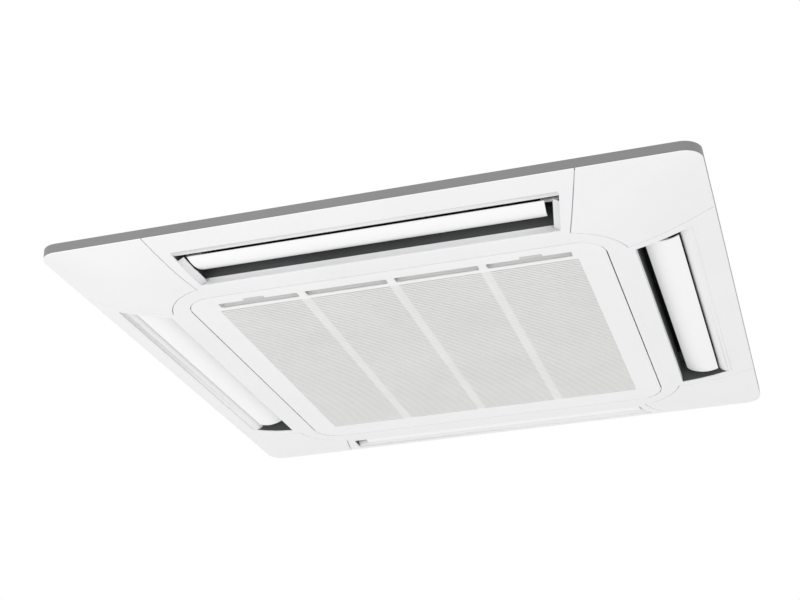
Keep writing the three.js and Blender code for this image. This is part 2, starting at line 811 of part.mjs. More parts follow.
// The motor at the outlet's end given by side, 1 or -1.
function flapMotor(side) {
  const face = outletHalfAt(flapPivotOut) + ductPad + seat;
  const span = (a, b) => [side * a, side * b].sort((p, q) => p - q);
  const can = span(face, face + flapMotorLength);
  const body = rodAlongX(flapPivotOut, pivotZ, flapMotorRadius, ...can, 18);
  const plate = block(
    ...span(face, face + 1),
    flapPivotOut - flapMotorRadius - 6,
    flapPivotOut + flapMotorRadius + 6,
    pivotZ - 4,
    pivotZ + 4,
  );
  const leadBox = block(
    ...span(face + 4, face + flapMotorLength - 2),
    flapPivotOut - 8,
    flapPivotOut + 8,
    pivotZ + flapMotorRadius - 2,
    pivotZ + flapMotorRadius + 3,
  );
  const socket = span(face - 1, face + flapMotorSocket);
  const bore = rodAlongX(flapPivotOut, pivotZ, flapPinRadius + pinClearance, ...socket);
  return cut(fuse(body, plate, leadBox), bore);
}

const white = () => finish(0xf2f2f3, 0.42);
add('panel_frame', panelFrame(), white());
add('rim_band', rimBand(), finish(0x8b8c8e, 0.5));
const sides = ['far', 'left', 'near', 'right'];
const corners = ['far_right', 'far_left', 'near_left', 'near_right'];
// The four motors stand in pairs, at the far-left and the near-right corner
const motorSides = [-1, 1, -1, 1];
for (let turns = 0; turns < 4; turns += 1) {
  add(`corner_cover_${corners[turns]}`, cornerCover(), white(), turns);
  add(`flap_${sides[turns]}`, flap(motorSides[turns]), finish(0xf7f7f8, 0.38), turns);
  add(`outlet_duct_${sides[turns]}`, outletDuct(), finish(0x26272a, 0.8), turns);
  add(`flap_motor_${sides[turns]}`, flapMotor(motorSides[turns]), finish(0xb9bcc0, 0.45, 0.6), turns);
}

// ---- Intake grille, its latches and the filter --------------------------------------------

function latchSides(x, width) {
  return [x - width / 2, x + width / 2];
}

// Hinged square grille: face plate, side wall, ribs and slats across the open field.
function intakeGrille() {
  const plate = squareRing([
    [grilleHalf, faceZ, grilleRadius],
    [grilleHalf, faceZ + grilleSideHeight, grilleRadius],
    [grilleHalf - grilleWall, faceZ + grilleSideHeight, grilleRadius - grilleWall],
    [grilleHalf - grilleWall, plateTopZ, grilleRadius - grilleWall],
    [grilleHalf - 60, plateTopZ, grilleRadius / 2],
    [grilleHalf - 60, faceZ, grilleRadius / 2],
  ]);
  const fill = block(-fieldHalfX - 5, fieldHalfX + 5, slotNear, fieldFar + 5, faceZ, plateTopZ);
  const field = block(-fieldHalfX, fieldHalfX, fieldNear, fieldFar, faceZ - 1, plateTopZ + 1);
  const slots = [-1, 0, 1, 2].map((bay) => {
    const left = bay === -1 ? -slotEnd : (bay - 1) * ribSpacing + slotBridge / 2;
    const right = bay === 2 ? slotEnd : bay * ribSpacing - slotBridge / 2;
    return block(left, right, slotNear, slotFar, faceZ - 1, plateTopZ + 1);
  });
  let grille = cut(fuse(plate, fill), field, slots);

  const slats = [];
  const slatCount = Math.floor((fieldFar - fieldNear) / slatPitch);
  const first = (fieldFar + fieldNear - (slatCount - 1) * slatPitch) / 2;
  for (let i = 0; i < slatCount; i += 1) {
    const y = first + i * slatPitch;
    const [y0, y1] = [y - slatWidth / 2, y + slatWidth / 2];
    slats.push(block(-fieldHalfX - 1, fieldHalfX + 1, y0, y1, faceZ + 0.4, faceZ + 0.4 + slatDepth));
  }
  const ribs = [-1, 0, 1].map((i) => {
    const [x0, x1] = latchSides(i * ribSpacing, ribWidth);
    return block(x0, x1, fieldNear - 4, fieldFar + 4, plateTopZ - 0.5, plateTopZ + ribHeight);
  });
  grille = fuse(grille, slats, ribs);

  // Shallow floor above the finger slots, carried by a wall behind them and one at each bridge
  const floorZ = plateTopZ + slotDepth;
  const floorEnd = slotEnd + slotFloorWall;
  const slotFloor = [
    block(-floorEnd, floorEnd, slotNear, slotFar + slotFloorWall, floorZ, floorZ + slotFloorWall),
    block(-floorEnd, floorEnd, slotFar, slotFar + slotFloorWall, plateTopZ - 0.5, floorZ + 0.5),
  ];
  for (const x of [-floorEnd, -ribSpacing, 0, ribSpacing, floorEnd - slotFloorWall]) {
    slotFloor.push(block(x, x + slotFloorWall, slotNear, slotFar + 0.5, plateTopZ - 0.5, floorZ + 0.5));
  }
  grille = fuse(grille, slotFloor);

  // Rails that hold the latches down, and their notches in the plate and side wall
  const railTop = plateTopZ + latchBodyHeight + 2 * seat;
  const railNear = slotNear - 12;
  const bodyWidth = latchTabWidth + 4;
  const tabNotch = [];
  const rails = [];
  for (const x of [-latchX, latchX]) {
    const [notchLeft, notchRight] = latchSides(x, latchTabWidth + 2);
    const notchNear = slotNear - latchTabDepth / 2 - 1;
    tabNotch.push(block(notchLeft, notchRight, notchNear, slotNear + 1, faceZ - 1, plateTopZ + 1));
    const [tongueLeft, tongueRight] = latchSides(x, latchTongueWidth + 2);
    const tongueTop = faceZ + grilleSideHeight - 3;
    const wallNear = -grilleHalf - 1;
    tabNotch.push(block(tongueLeft, tongueRight, wallNear, wallNear + 5, plateTopZ, tongueTop));
    for (const side of [-1, 1]) {
      const inner = x + side * (bodyWidth / 2 + seat);
      const outer = inner + side * 3;
      const hook = inner - side * 2;
      const [r0, r1] = [inner, outer].sort((a, b) => a - b);
      const [h0, h1] = [hook, outer].sort((a, b) => a - b);
      rails.push(block(r0, r1, railNear, slotNear, plateTopZ - 0.5, railTop));
      rails.push(block(h0, h1, railNear, slotNear, railTop - 0.1, railTop + 2));
    }
  }
  grille = cut(fuse(grille, rails), tabNotch);

  const pinZ = faceZ + grillePinRise;
  const pins = [-1, 1].map((side) => {
    const root = side * (grilleHalf - grilleWall);
    const tip = side * (grilleHalf + grillePinLength);
    return rodAlongX(grillePinY, pinZ, grillePinRadius, Math.min(root, tip), Math.max(root, tip));
  });
  return fuse(grille, pins);
}

// Slide with a finger tab below the plate and a tongue that reaches over the panel's edge.
function grilleLatch(x) {
  const bottom = plateTopZ + seat;
  const [b0, b1] = latchSides(x, latchTabWidth + 4);
  const [t0, t1] = latchSides(x, latchTabWidth);
  const [g0, g1] = latchSides(x, latchTongueWidth);
  const bodyNear = slotNear - 10;
  const tabNear = slotNear - latchTabDepth / 2;
  return fuse(
    block(b0, b1, bodyNear, bodyNear + latchBodyDepth, bottom, bottom + latchBodyHeight - seat),
    block(t0, t1, tabNear, tabNear + latchTabDepth - latchTravel / 2, faceZ + 0.5, bottom + 1),
    block(g0, g1, -grilleOpening - latchTongueReach, bodyNear + 1, bottom, bottom + 3),
  );
}

// Frame with crossed bars that carries the filter mesh.
function airFilter() {
  const top = filterBottomZ + filterHeight;
  const outer = block(-filterHalfX, filterHalfX, filterNear, filterFar, filterBottomZ, top);
  const inner = block(
    -filterHalfX + filterFrame,
    filterHalfX - filterFrame,
    filterNear + filterFrame,
    filterFar - filterFrame,
    filterBottomZ - 1,
    top + 1,
  );
  const bars = [];
  for (const i of [-1, 0, 1]) {
    const place = i * (filterHalfX / 2);
    const middle = (filterNear + filterFar) / 2 + place;
    const half = filterBar / 2;
    const [barBottom, barTop] = [filterBottomZ + 1, filterBottomZ + filterHeight / 2 + 1];
    bars.push(block(place - half, place + half, filterNear + 1, filterFar - 1, barBottom, barTop));
    bars.push(block(-filterHalfX + 1, filterHalfX - 1, middle - half, middle + half, barBottom, barTop));
  }
  return fuse(cut(outer, inner), bars);
}

add('intake_grille', intakeGrille(), finish(0xefefef, 0.45));
add('air_filter', airFilter(), finish(0x3c4044, 0.7));
add('grille_latch_left', grilleLatch(-latchX), finish(0xe4e4e6, 0.4));
add('grille_latch_right', grilleLatch(latchX), finish(0xe4e4e6, 0.4));

// ---- Cabinet ------------------------------------------------------------------------------

// Passages for the two pipes, the drain and the panel bolts, shared by wall and lining.
function pipeHoles(margin, x0) {
  const far = cabinetHalf + 5;
  return [
    rodAlongX(headerY, gasPipeZ, gasRadius + margin, x0, far),
    rodAlongX(liquidPipeY, liquidPipeZ, liquidRadius + margin, x0, far),
  ];
}

function drainHole(margin, y0) {
  return rodAlongY(drainX, drainZ, drainRadius + margin, y0, cabinetHalf + 5);
}

function boltHoles(margin, z0, z1) {
  return fourTimes(rod(boltPlace, boltPlace, boltRadius + margin, z0, z1, 8));
}

// Folded galvanised wall with an inward flange along its lower edge.
function cabinetWall() {
  const top = cabinetTop - sheet - seat;
  const wall = cut(
    prism(cabinetOutline(0), cabinetBottom, top),
    prism(cabinetOutline(sheet), cabinetBottom - 1, top + 1),
  );
  const flange = cut(
    prism(cabinetOutline(0.5), cabinetBottom, cabinetBottom + sheet),
    prism(cabinetOutline(cabinetHalf - linerInner - seat), cabinetBottom - 1, cabinetBottom + sheet + 1),
  );
  const inside = cabinetHalf - 5;
  return cut(
    fuse(wall, flange),
    pipeHoles(2, inside),
    drainHole(1, inside),
    boltHoles(pinClearance, cabinetBottom - 1, cabinetBottom + sheet + 1),
  );
}

function cabinetTopPlate() {
  const bottom = cabinetTop - sheet;
  const bead = (half) => cut(
    prism(octagon(half, half / 3), cabinetTop - 0.5, cabinetTop + 3),
    prism(octagon(half - 12, (half - 12) / 3), cabinetTop - 1, cabinetTop + 4),
  );
  return fuse(prism(cabinetOutline(0), bottom, cabinetTop), bead(280), bead(150));
}

// Moulded foam lining: side walls and a top layer with a hole for the motor mount.
function insulationLiner() {
  const top = cabinetTop - sheet - seat;
  const bottom = cabinetBottom + sheet + seat;
  const outside = cabinetOutline(sheet + seat);
  const inside = cabinetOutline(cabinetHalf - linerInner);
  return cut(
    prism(outside, bottom, top),
    prism(inside, bottom - 1, top - linerTop),
    rod(0, 0, bracketRadius + 5, top - linerTop - 1, top + 1, 24),
    pipeHoles(2, linerInner - 5),
    drainHole(1, linerInner - 5),
    boltHoles(2, bottom - 1, cabinetBottom + boltEngage + 2),
  );
}

// Foam tray under the coil, with the four air passages and the sump for the pump.
function drainPan() {
  const body = prism(cabinetOutline(cabinetHalf - linerInner + seat), cabinetBottom, panTop);
  const ledge = roundedSquare(panOpening - panLedgeWidth, panOpeningRadius - panLedgeWidth);
  const opening = roundedSquare(panOpening, panOpeningRadius);
  const slot = block(-slotHalf, slotHalf, slotInnerEdge, slotOuterEdge, cabinetBottom - 1, panTop + 1);
  const margin = 4;
  const trough = squareRing([
    [coilOuter + margin, panTop + 1, coilRadius + margin],
    [coilOuter + margin, troughFloor, coilRadius + margin],
    [coilInner - margin, troughFloor, coilRadius - coilThickness - margin],
    [coilInner - margin, panTop + 1, coilRadius - coilThickness - margin],
  ]);
  return cut(
    body,
    prism(ledge, cabinetBottom - 1, panTop + 1),
    prism(opening, cabinetBottom - 1, panTop - panLedgeDrop),
    fourTimes(slot),
    trough,
    rod(sumpX, sumpY, sumpRadius, sumpFloor, panTop + 1),
    rod(floatX, floatY, floatRadius + 5, sumpFloor, panTop + 1),
    rod(headerX, headerY, headerRadius + 4, troughFloor, panTop + 1),
  );
}

add('cabinet_top', cabinetTopPlate(), finish(0xb7bbbf, 0.42, 0.85));
add('cabinet_wall', cabinetWall(), finish(0xb7bbbf, 0.42, 0.85));
add('insulation_liner', insulationLiner(), finish(0x2f3134, 0.95));
add('drain_pan', drainPan(), finish(0x222224, 0.9));

// ---- Coil and pipes -----------------------------------------------------------------------

// Finned block bent around three corners, open at the pipe corner.
function coilFins() {
  const arc = (radius, from) => {
    const centre = coilOuter - coilRadius;
    const steps = 6;
    const [sx, sy] = [[-1, 1], [-1, -1], [1, -1]][from];
    return Array.from({ length: steps + 1 }, (_, i) => {
      const angle = (from + 1 + i / steps) * Math.PI / 2;
      return [sx * centre + radius * Math.cos(angle), sy * centre + radius * Math.sin(angle)];
    });
  };
  const outer = [0, 1, 2].flatMap((k) => arc(coilRadius, k));
  const inner = [0, 1, 2].flatMap((k) => arc(coilRadius - coilThickness, k)).reverse();
  const outline = [
    [coilEnd, coilOuter], ...outer, [coilOuter, coilEnd],
    [coilInner, coilEnd], ...inner, [coilEnd, coilInner],
  ];
  return prism(outline, troughFloor + seat, coilTopZ);
}

// Galvanised plate at a coil end with the return bends, drawn for the right-hand run.
function coilEndPlate(bends) {
  const y0 = coilEnd + seat;
  const y1 = y0 + endPlate;
  const plate = block(coilInner, coilOuter, y0, y1, troughFloor + seat, coilTopZ);
  const hairpins = [];
  for (let i = 0; i < bends; i += 1) {
    const z = bendFirst + i * bendPitch;
    const across = coilThickness / 4;
    const x = coilInner + coilThickness / 2;
    hairpins.push(tubeAlong([
      [x - across, y1 - 0.5, z],
      [x - across, y1 + bendReach * 0.6, z],
      [x, y1 + bendReach - bendRadius, z + bendPitch / 4],
      [x + across, y1 + bendReach * 0.6, z + bendPitch / 2],
      [x + across, y1 - 0.5, z + bendPitch / 2],
    ], bendRadius, 6, 6));
  }
  return fuse(plate, hairpins);
}

function mirroredDiagonal(geometry) {
  // Swaps x and y, so the far run's end matches the right run's
  const swap = new THREE.Matrix4().set(0, 1, 0, 0, 1, 0, 0, 0, 0, 0, 1, 0, 0, 0, 0, 1);
  const copy = geometry.clone();
  copy.userData.joined = true;
  return geometryOf(solid(copy.applyMatrix4(swap)));
}

// Upright suction header with stubs to the coil's end plate.
function gasHeader() {
  const stubStart = coilEnd + seat + endPlate + seat;
  const stubs = [];
  for (let i = 0; i < bendCount - 1; i += 1) {
    const z = bendFirst + (i + 0.75) * bendPitch;
    stubs.push(rodAlongY(headerX, z, stubRadius, stubStart, headerY, 8));
  }
  return fuse(rod(headerX, headerY, headerRadius, headerBottom, headerTop), stubs);
}

// Open end of a pipe, for the joint to the installer's pipe.
function pipeBore(y, z, radius) {
  const end = cabinetHalf + pipeReach;
  return rodAlongX(y, z, radius, end - pipeBoreDepth, end + 1);
}

function gasPipe() {
  const start = headerX + headerRadius + seat;
  const pipe = rodAlongX(headerY, gasPipeZ, gasRadius, start, cabinetHalf + pipeReach);
  return cut(pipe, pipeBore(headerY, gasPipeZ, gasRadius - gasPipeWall));
}

function liquidPipe() {
  const start = coilEnd + seat + endPlate + seat;
  const x = coilInner + coilThickness / 2;
  const bend = 14;
  const end = cabinetHalf + pipeReach;
  const straightX = x + bend;
  const elbow = tubeAlong([
    [x, start, liquidPipeZ],
    [x, liquidPipeY - bend, liquidPipeZ],
    [x + bend * 0.3, liquidPipeY - bend * 0.3, liquidPipeZ],
    [straightX, liquidPipeY, liquidPipeZ],
    [straightX + 6, liquidPipeY, liquidPipeZ],
  ], liquidRadius, 8, 8);
  const straight = rodAlongX(liquidPipeY, liquidPipeZ, liquidRadius, straightX + 4, end);
  return cut(fuse(elbow, straight), pipeBore(liquidPipeY, liquidPipeZ, liquidRadius - liquidPipeWall));
}

function flareNut(y, z, across, bore) {
  const end = cabinetHalf + pipeReach;
  const nut = hexagon(0, 0, across, -nutLength, 0).rotateY(Math.PI / 2).translate(end - 3, y, z);
  return cut(nut, rodAlongX(y, z, bore + seat, end - nutLength - 10, end + 5));
}

add('coil_fins', coilFins(), finish(0xa9b4bd, 0.4, 0.8));
add('coil_end_right', coilEndPlate(bendCount - 1), finish(0xb98a5e, 0.35, 0.9));
add('coil_end_far', mirroredDiagonal(coilEndPlate(bendCount)), finish(0xb98a5e, 0.35, 0.9));
add('gas_header', gasHeader(), finish(0xb87a4b, 0.35, 0.9));
add('gas_pipe', gasPipe(), finish(0xb87a4b, 0.35, 0.9));
add('liquid_pipe', liquidPipe(), finish(0xb87a4b, 0.35, 0.9));
add('gas_flare_nut', flareNut(headerY, gasPipeZ, gasNutAcross, gasRadius), finish(0xc9a24d, 0.35, 0.9));
add(
  'liquid_flare_nut',
  flareNut(liquidPipeY, liquidPipeZ, liquidNutAcross, liquidRadius),
  finish(0xc9a24d, 0.35, 0.9),
);

// ---- Bell mouth, fan and motor ------------------------------------------------------------

// Square plate under the pan's ledge that sweeps up into a round throat.
function bellMouthPiece() {
  const plateHalf = panOpening - seat;
  const plate = prism(
    roundedSquare(plateHalf, panOpeningRadius - seat),
    bellPlateTop - bellWall,
    bellPlateTop,
  );
  const steps = 4;
  const low = bellPlateTop - bellWall;
  const inside = [];
  const outside = [];
  for (let i = 0; i <= steps; i += 1) {
    const angle = (i / steps) * Math.PI / 2;
    const r = bellMouth - (bellMouth - bellThroat) * Math.sin(angle);
    const z = bellTop - 3 - (bellTop - 3 - low) * Math.cos(angle);
    inside.push([r, z]);
    const drop = bellWall * Math.cos(angle);
    outside.push([r + bellWall * Math.sin(angle) + drop, z + drop]);
  }
  const flare = turned([
    ...inside,
    [bellThroat, bellTop],
    [bellThroat + bellWall, bellTop],
    ...outside.reverse(),
    inside[0],
  ]);
  return fuse(cut(plate, rod(0, 0, bellMouth + 1, low - 1, bellPlateTop + 1, 28)), flare);
}

// Centrifugal fan: hub cone, seven swept blades and an inlet shroud.
function turboFan() {
  const bore = shaftRadius + fanBoreClearance;
  const shroudWall = 2.5;
  const shroudRise = 34;
  const shroud = turned([
    [fanInlet, fanBottom],
    [fanInlet + 8, fanBottom + 14],
    [fanInlet + 28, fanBottom + 26],
    [fanRadius, fanBottom + shroudRise],
    [fanRadius, fanBottom + shroudRise + shroudWall],
    [fanInlet + 27, fanBottom + 26 + shroudWall],
    [fanInlet + 6, fanBottom + 15],
    [fanInlet - shroudWall, fanBottom + 1],
    [fanInlet, fanBottom],
  ]);
  const coneOuter = motorRadius + 22;
  const hub = turned([
    [fanRadius, fanTop - 3],
    [coneOuter + 20, fanTop - 7],
    [coneOuter, fanTop - 25],
    [motorRadius + 15, motorBottom],
    [motorRadius + 6, motorBottom - 16],
    [16, motorBottom - 20],
    [16, hubBottom],
    [bore, hubBottom],
    [bore, hubTop],
    [16, hubTop],
    [16, motorBottom - 16],
    [motorRadius + 4, motorBottom - 12],
    [motorRadius + 12, motorBottom + 2],
    [coneOuter - 3, fanTop - 23],
    [coneOuter + 18, fanTop - 3],
    [fanRadius, fanTop],
    [fanRadius, fanTop - 3],
  ]);
  const blades = [];
  for (let i = 0; i < fanBlades; i += 1) {
    const turn = (i / fanBlades) * 2 * Math.PI;
    const curve = [];
    const back = [];
    const steps = 4;
    for (let k = 0; k <= steps; k += 1) {
      const t = k / steps;
      const r = 158 + (fanRadius - 4 - 158) * t;
      const angle = turn - 0.42 * t;
      const half = 3.2 * (1 - 0.75 * t) / r;
      curve.push([r * Math.cos(angle + half), r * Math.sin(angle + half)]);
      back.push([r * Math.cos(angle - half), r * Math.sin(angle - half)]);
    }
    blades.push(prism([...curve, ...back.reverse()], fanBottom + 28, fanTop - 2));
  }
  // Room for the shroud's inlet and the bell mouth under the blades
  const inletRoom = turned([
    [0, fanBottom - 1],
    [fanInlet + 5, fanBottom - 1],
    [fanInlet + 6, fanBottom + 15.2],
    [fanInlet + 26, fanBottom + 26.5 + shroudWall],
    [0, fanBottom + 26.5 + shroudWall],
    [0, fanBottom - 1],
  ]);
  return fuse(cut(fuse(blades), inletRoom), shroud, hub);
}

function fanNut() {
  const top = hubBottom - seat;
  return cut(
    hexagon(0, 0, 19, top - 9, top),
    rod(0, 0, shaftRadius + fanBoreClearance, top - 12, top + 1, 12),
  );
}

function motorShaft() {
  return rod(0, 0, shaftRadius, shaftBottom, shaftTop, 12);
}

function fanMotor() {
  const body = turned([
    [0, motorBottom],
    [20, motorBottom],
    [20, motorBottom + 5],
    [motorRadius - 8, motorBottom + 8],
    [motorRadius, motorBottom + 16],
    [motorRadius, motorTop - motorFlangeThickness],
    [motorFlange, motorTop - motorFlangeThickness],
    [motorFlange, motorTop],
    [0, motorTop],
    [0, motorBottom],
  ]);
  return cut(body, rod(0, 0, shaftRadius + fanBoreClearance, motorBottom - 1, shaftTop + 1, 12));
}

// Pressed plate between the motor and the cabinet's top, on four feet.
function motorBracket() {
  const bottom = motorTop + seat;
  const top = cabinetTop - sheet - seat;
  const plate = cut(
    rod(0, 0, bracketRadius, bottom, bottom + 3, 24),
    rod(0, 0, motorRadius * 0.6, bottom - 1, bottom + 4, 24),
  );
  const feet = fourTimes(block(
    bracketRadius - 16 - bracketFoot / 2,
    bracketRadius - 16 + bracketFoot / 2,
    -bracketFoot,
    bracketFoot,
    bottom + 2,
    top,
  ));
  return fuse(plate, feet);
}

add('bell_mouth', bellMouthPiece(), finish(0x303236, 0.7));
add('turbo_fan', turboFan(), finish(0x3a3c40, 0.6));
add('fan_nut', fanNut(), finish(0xb9bcc0, 0.35, 0.9));
add('motor_shaft', motorShaft(), finish(0xa7abb0, 0.3, 0.95));
add('fan_motor', fanMotor(), finish(0x8e9298, 0.45, 0.7));
add('fan_motor_bracket', motorBracket(), finish(0xb7bbbf, 0.42, 0.85));

// ---- Control box under the bell mouth's plate ---------------------------------------------

function controlBox() {
  const top = bellPlateTop - bellWall - seat;
  return cut(
    block(-boxHalfX, boxHalfX, boxNear, boxFar, boxBottom, top),
    block(
      -boxHalfX + boxWall,
      boxHalfX - boxWall,
      boxNear + boxWall,
      boxFar - boxWall,
      boxBottom - 1,
      top - boxWall,
    ),
  );
}

function controlBoxCover() {
  const top = boxBottom - seat;
  const out = boxWall + seat;
  return cut(
    block(
      -boxHalfX - out,
      boxHalfX + out,
      boxNear - out,
      boxFar + out,
      top - boxWall,
      top + coverLip,
    ),
    block(-boxHalfX - seat, boxHalfX + seat, boxNear - seat, boxFar + seat, top, top + coverLip + 1),
  );
}

// Both stand on the box's ceiling, reached from below
const boxCeiling = bellPlateTop - bellWall - seat - boxWall - seat;

function terminalBlock() {
  const length = 70;
  const x0 = -boxHalfX + 12;
  const middle = (boxNear + boxFar) / 2;
  const bottom = boxCeiling - 16;
  const ways = 6;
  const body = block(x0, x0 + length, middle - 12, middle + 12, bottom, boxCeiling);
  const wells = [];
  for (let i = 0; i < ways; i += 1) {
    const x = x0 + (i + 0.5) * length / ways;
    wells.push(block(x - 4, x + 4, middle - 14, middle - 3, bottom - 1, bottom + 9));
    wells.push(rod(x, middle + 5, 3, bottom - 1, bottom + 6, 8));
  }
  return cut(body, wells);
}

function circuitBoard() {
  const x0 = -boxHalfX + 95;
  const x1 = boxHalfX - 8;
  const [y0, y1] = [boxNear + 5, boxFar - 5];
  const bottom = boxCeiling - 7.6;
  const posts = [];
  for (const x of [x0 + 5, x1 - 5]) {
    for (const y of [y0 + 4, y1 - 4]) posts.push(rod(x, y, 2.5, bottom + 1, boxCeiling, 8));
  }
  const capacitors = [0, 1, 2].map((i) => rod(x0 + 30 + 18 * i, y0 + 12, 7, bottom - 18, bottom + 1, 12));
  const relays = [x1 - 40, x1 - 20].map((x) => {
    return block(x, x + 14, y0 + 6, y0 + 18, bottom - 15, bottom + 1);
  });
  const sink = block(x0 + 22, x0 + 80, y1 - 14, y1 - 4, bottom - 22, bottom + 1);
  return fuse(block(x0, x1, y0, y1, bottom, bottom + 1.6), posts, capacitors, relays, sink);
}

add('control_box', controlBox(), finish(0xb7bbbf, 0.42, 0.85));
add('control_box_cover', controlBoxCover(), finish(0xb7bbbf, 0.42, 0.85));
add('terminal_block', terminalBlock(), finish(0xe8e6dc, 0.6));
add('circuit_board', circuitBoard(), finish(0x2f6b46, 0.6));

// ---- Drain pump, float switch and drain ---------------------------------------------------

const pumpFoot = panTop + seat;
const spigotZ = 76;
const spigotEnd = sumpY + pumpMotorRadius + 14;

function drainPump() {
  const chamberBottom = sumpFloor + 4;
  const chamberTop = pumpFoot - 14;
  const body = [
    rod(sumpX, sumpY, pumpChamberRadius, chamberBottom, chamberTop),
    rod(sumpX, sumpY, pumpChamberRadius - 7, chamberTop - 1, pumpFoot + 1),
    block(sumpX - 33, sumpX + 17, sumpY - 31, sumpY + 25, pumpFoot, pumpFoot + pumpPlate),
    rod(sumpX, sumpY, pumpMotorRadius, pumpFoot + pumpPlate - 0.5, pumpMotorTop),
    rodAlongY(sumpX, spigotZ, hoseRadius - 2, sumpY + 10, spigotEnd, 10),
  ];
  return cut(
    fuse(body),
    rod(sumpX, sumpY, impellerRadius + 2, chamberBottom + 2, chamberTop - 2),
    rod(sumpX, sumpY, 8, chamberBottom - 1, chamberBottom + 3, 16),
    rod(sumpX, sumpY, 2.8, chamberTop - 3, pumpFoot + 20, 12),
  );
}

function pumpImpeller() {
  const bottom = sumpFloor + 4 + 2 + 2;
  const top = pumpFoot - 14 - 2 - 2;
  const vane = block(1, impellerRadius, -0.8, 0.8, bottom, top);
  const hub = rod(0, 0, 4, bottom, top, 12);
  const shaft = rod(0, 0, 2.4, top - 1, pumpFoot + 18, 12);
  const parts = [hub, shaft, ...fourTimes(vane)];
  return fuse(parts.map((shape) => {
    const copy = shape.clone();
    return copy.translate(sumpX, sumpY, 0);
  }));
}

const floatRest = panTop - floatHeight - floatTravel;

// Stem with a stop ring below the float, hung from an arm that rests on the pan.
function floatSwitch() {
  const head = panTop + seat;
  const stopTop = floatRest - seat;
  return fuse(
    rod(floatX, floatY, stemRadius, stopTop - 3, head + 1, 12),
    rod(floatX, floatY, stemRadius + 2.5, stopTop - 3, stopTop, 12),
    rod(floatX, floatY, stemRadius + 5, head, head + 16, 16),
    block(floatX - 6, floatX + 30, floatY - 6, floatY + 6, head, head + 3),
  );
}

function floatBody() {
  return cut(
    rod(floatX, floatY, floatRadius, floatRest, floatRest + floatHeight, 16),
    rod(floatX, floatY, stemRadius + seat, floatRest - 1, floatRest + floatHeight + 1, 12),
  );
}

const drainInnerEnd = linerInner - 4;

function drainTube() {
  const start = spigotEnd + seat;
  const end = drainInnerEnd - seat;
  return tubeAlong([
    [sumpX, start, spigotZ],
    [sumpX, start + 10, spigotZ],
    [sumpX - 2, end - 18, spigotZ + 22],
    [sumpX - 12, end - 14, (spigotZ + drainZ) / 2],
    [drainX + 4, end - 16, drainZ - 24],
    [drainX, end - 9, drainZ],
    [drainX, end, drainZ],
  ], hoseRadius, 15, 8);
}

// Drain outlet for a 25 mm pipe, with a flange on the cabinet's wall.
function drainSocket() {
  const outside = cabinetHalf + seat;
  const tube = rodAlongY(drainX, drainZ, drainRadius, drainInnerEnd, cabinetHalf + drainReach, 16);
  const flange = rodAlongY(drainX, drainZ, drainRadius + 9, outside, outside + 3, 16);
  return cut(
    fuse(tube, flange),
    rodAlongY(drainX, drainZ, drainBore, drainInnerEnd - 1, cabinetHalf + drainReach + 1, 12),
  );
}

add('drain_pump', drainPump(), finish(0xd9d9d4, 0.5));
add('pump_impeller', pumpImpeller(), finish(0x4a5a78, 0.5));
add('float_switch', floatSwitch(), finish(0x2b2c2f, 0.5));
add('float', floatBody(), finish(0xe6e2d6, 0.6));
add('drain_tube', drainTube(), finish(0x9aa3aa, 0.5));
add('drain_socket', drainSocket(), finish(0xcfd2d4, 0.5));

// ---- Hangers and panel bolts --------------------------------------------------------------

// Lug with an open slot for a suspension bolt, folded from the plate on the chamfered wall.
function hangerBracket(signX, signY) {
  const at = (x, y) => [signX * x, signY * y];
  const wallSum = 2 * cabinetHalf - cabinetChamfer;
  const out = seat * Math.SQRT2;
  const plateOut = (seat + hangerPlate) * Math.SQRT2;
  // Points on the wall's plane are given by their x
  const onWall = (x, sum) => at(x + sum / 2, wallSum - x + sum / 2);
  const first = hangerX - hangerMargin - 22;
  const last = hangerX + 12;
  const upright = prism(
    [onWall(first, out), onWall(last, out), onWall(last, plateOut), onWall(first, plateOut)],
    hangerZ - 30,
    hangerZ + 30,
  );
  const edge = hangerX + hangerMargin;
  const top = hangerY + hangerMargin;
  const lug = prism([
    onWall(first + 1, out),
    onWall(last - 1, out),
    at(edge, wallSum - last + 12),
    at(edge, top),
    at(wallSum - top + 28, top),
  ], hangerZ, hangerZ + hangerPlate);
  const slotX = [signX * hangerX, signX * (edge + 5)].sort((a, b) => a - b);
  const half = hangerSlot / 2;
  const slotY = signY * hangerY;
  const slot = block(slotX[0], slotX[1], slotY - half, slotY + half, hangerZ - 1, hangerZ + hangerPlate + 1);
  const slotRound = rod(signX * hangerX, slotY, half, hangerZ - 1, hangerZ + hangerPlate + 1, 14);
  return cut(fuse(upright, lug), slot, slotRound);
}

function panelBolt() {
  const headTop = ductTopZ - sleeveWall - seat;
  return fuse(
    rod(boltPlace, boltPlace, boltHeadRadius, headTop - boltHeadHeight, headTop, 10),
    rod(boltPlace, boltPlace, boltRadius, headTop - 0.5, cabinetBottom + boltEngage, 8),
  );
}

const cornerSigns = [[1, 1], [-1, 1], [-1, -1], [1, -1]];
for (let turns = 0; turns < 4; turns += 1) {
  const [signX, signY] = cornerSigns[turns];
  add(`hanger_bracket_${corners[turns]}`, hangerBracket(signX, signY), finish(0xb7bbbf, 0.42, 0.85));
  add(`panel_bolt_${corners[turns]}`, panelBolt(), finish(0xa7abb0, 0.35, 0.9), turns);
}

export default assembly;
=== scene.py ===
import json
import math

import bmesh
import bpy
import numpy as np
from mathutils import Matrix, Vector, geometry


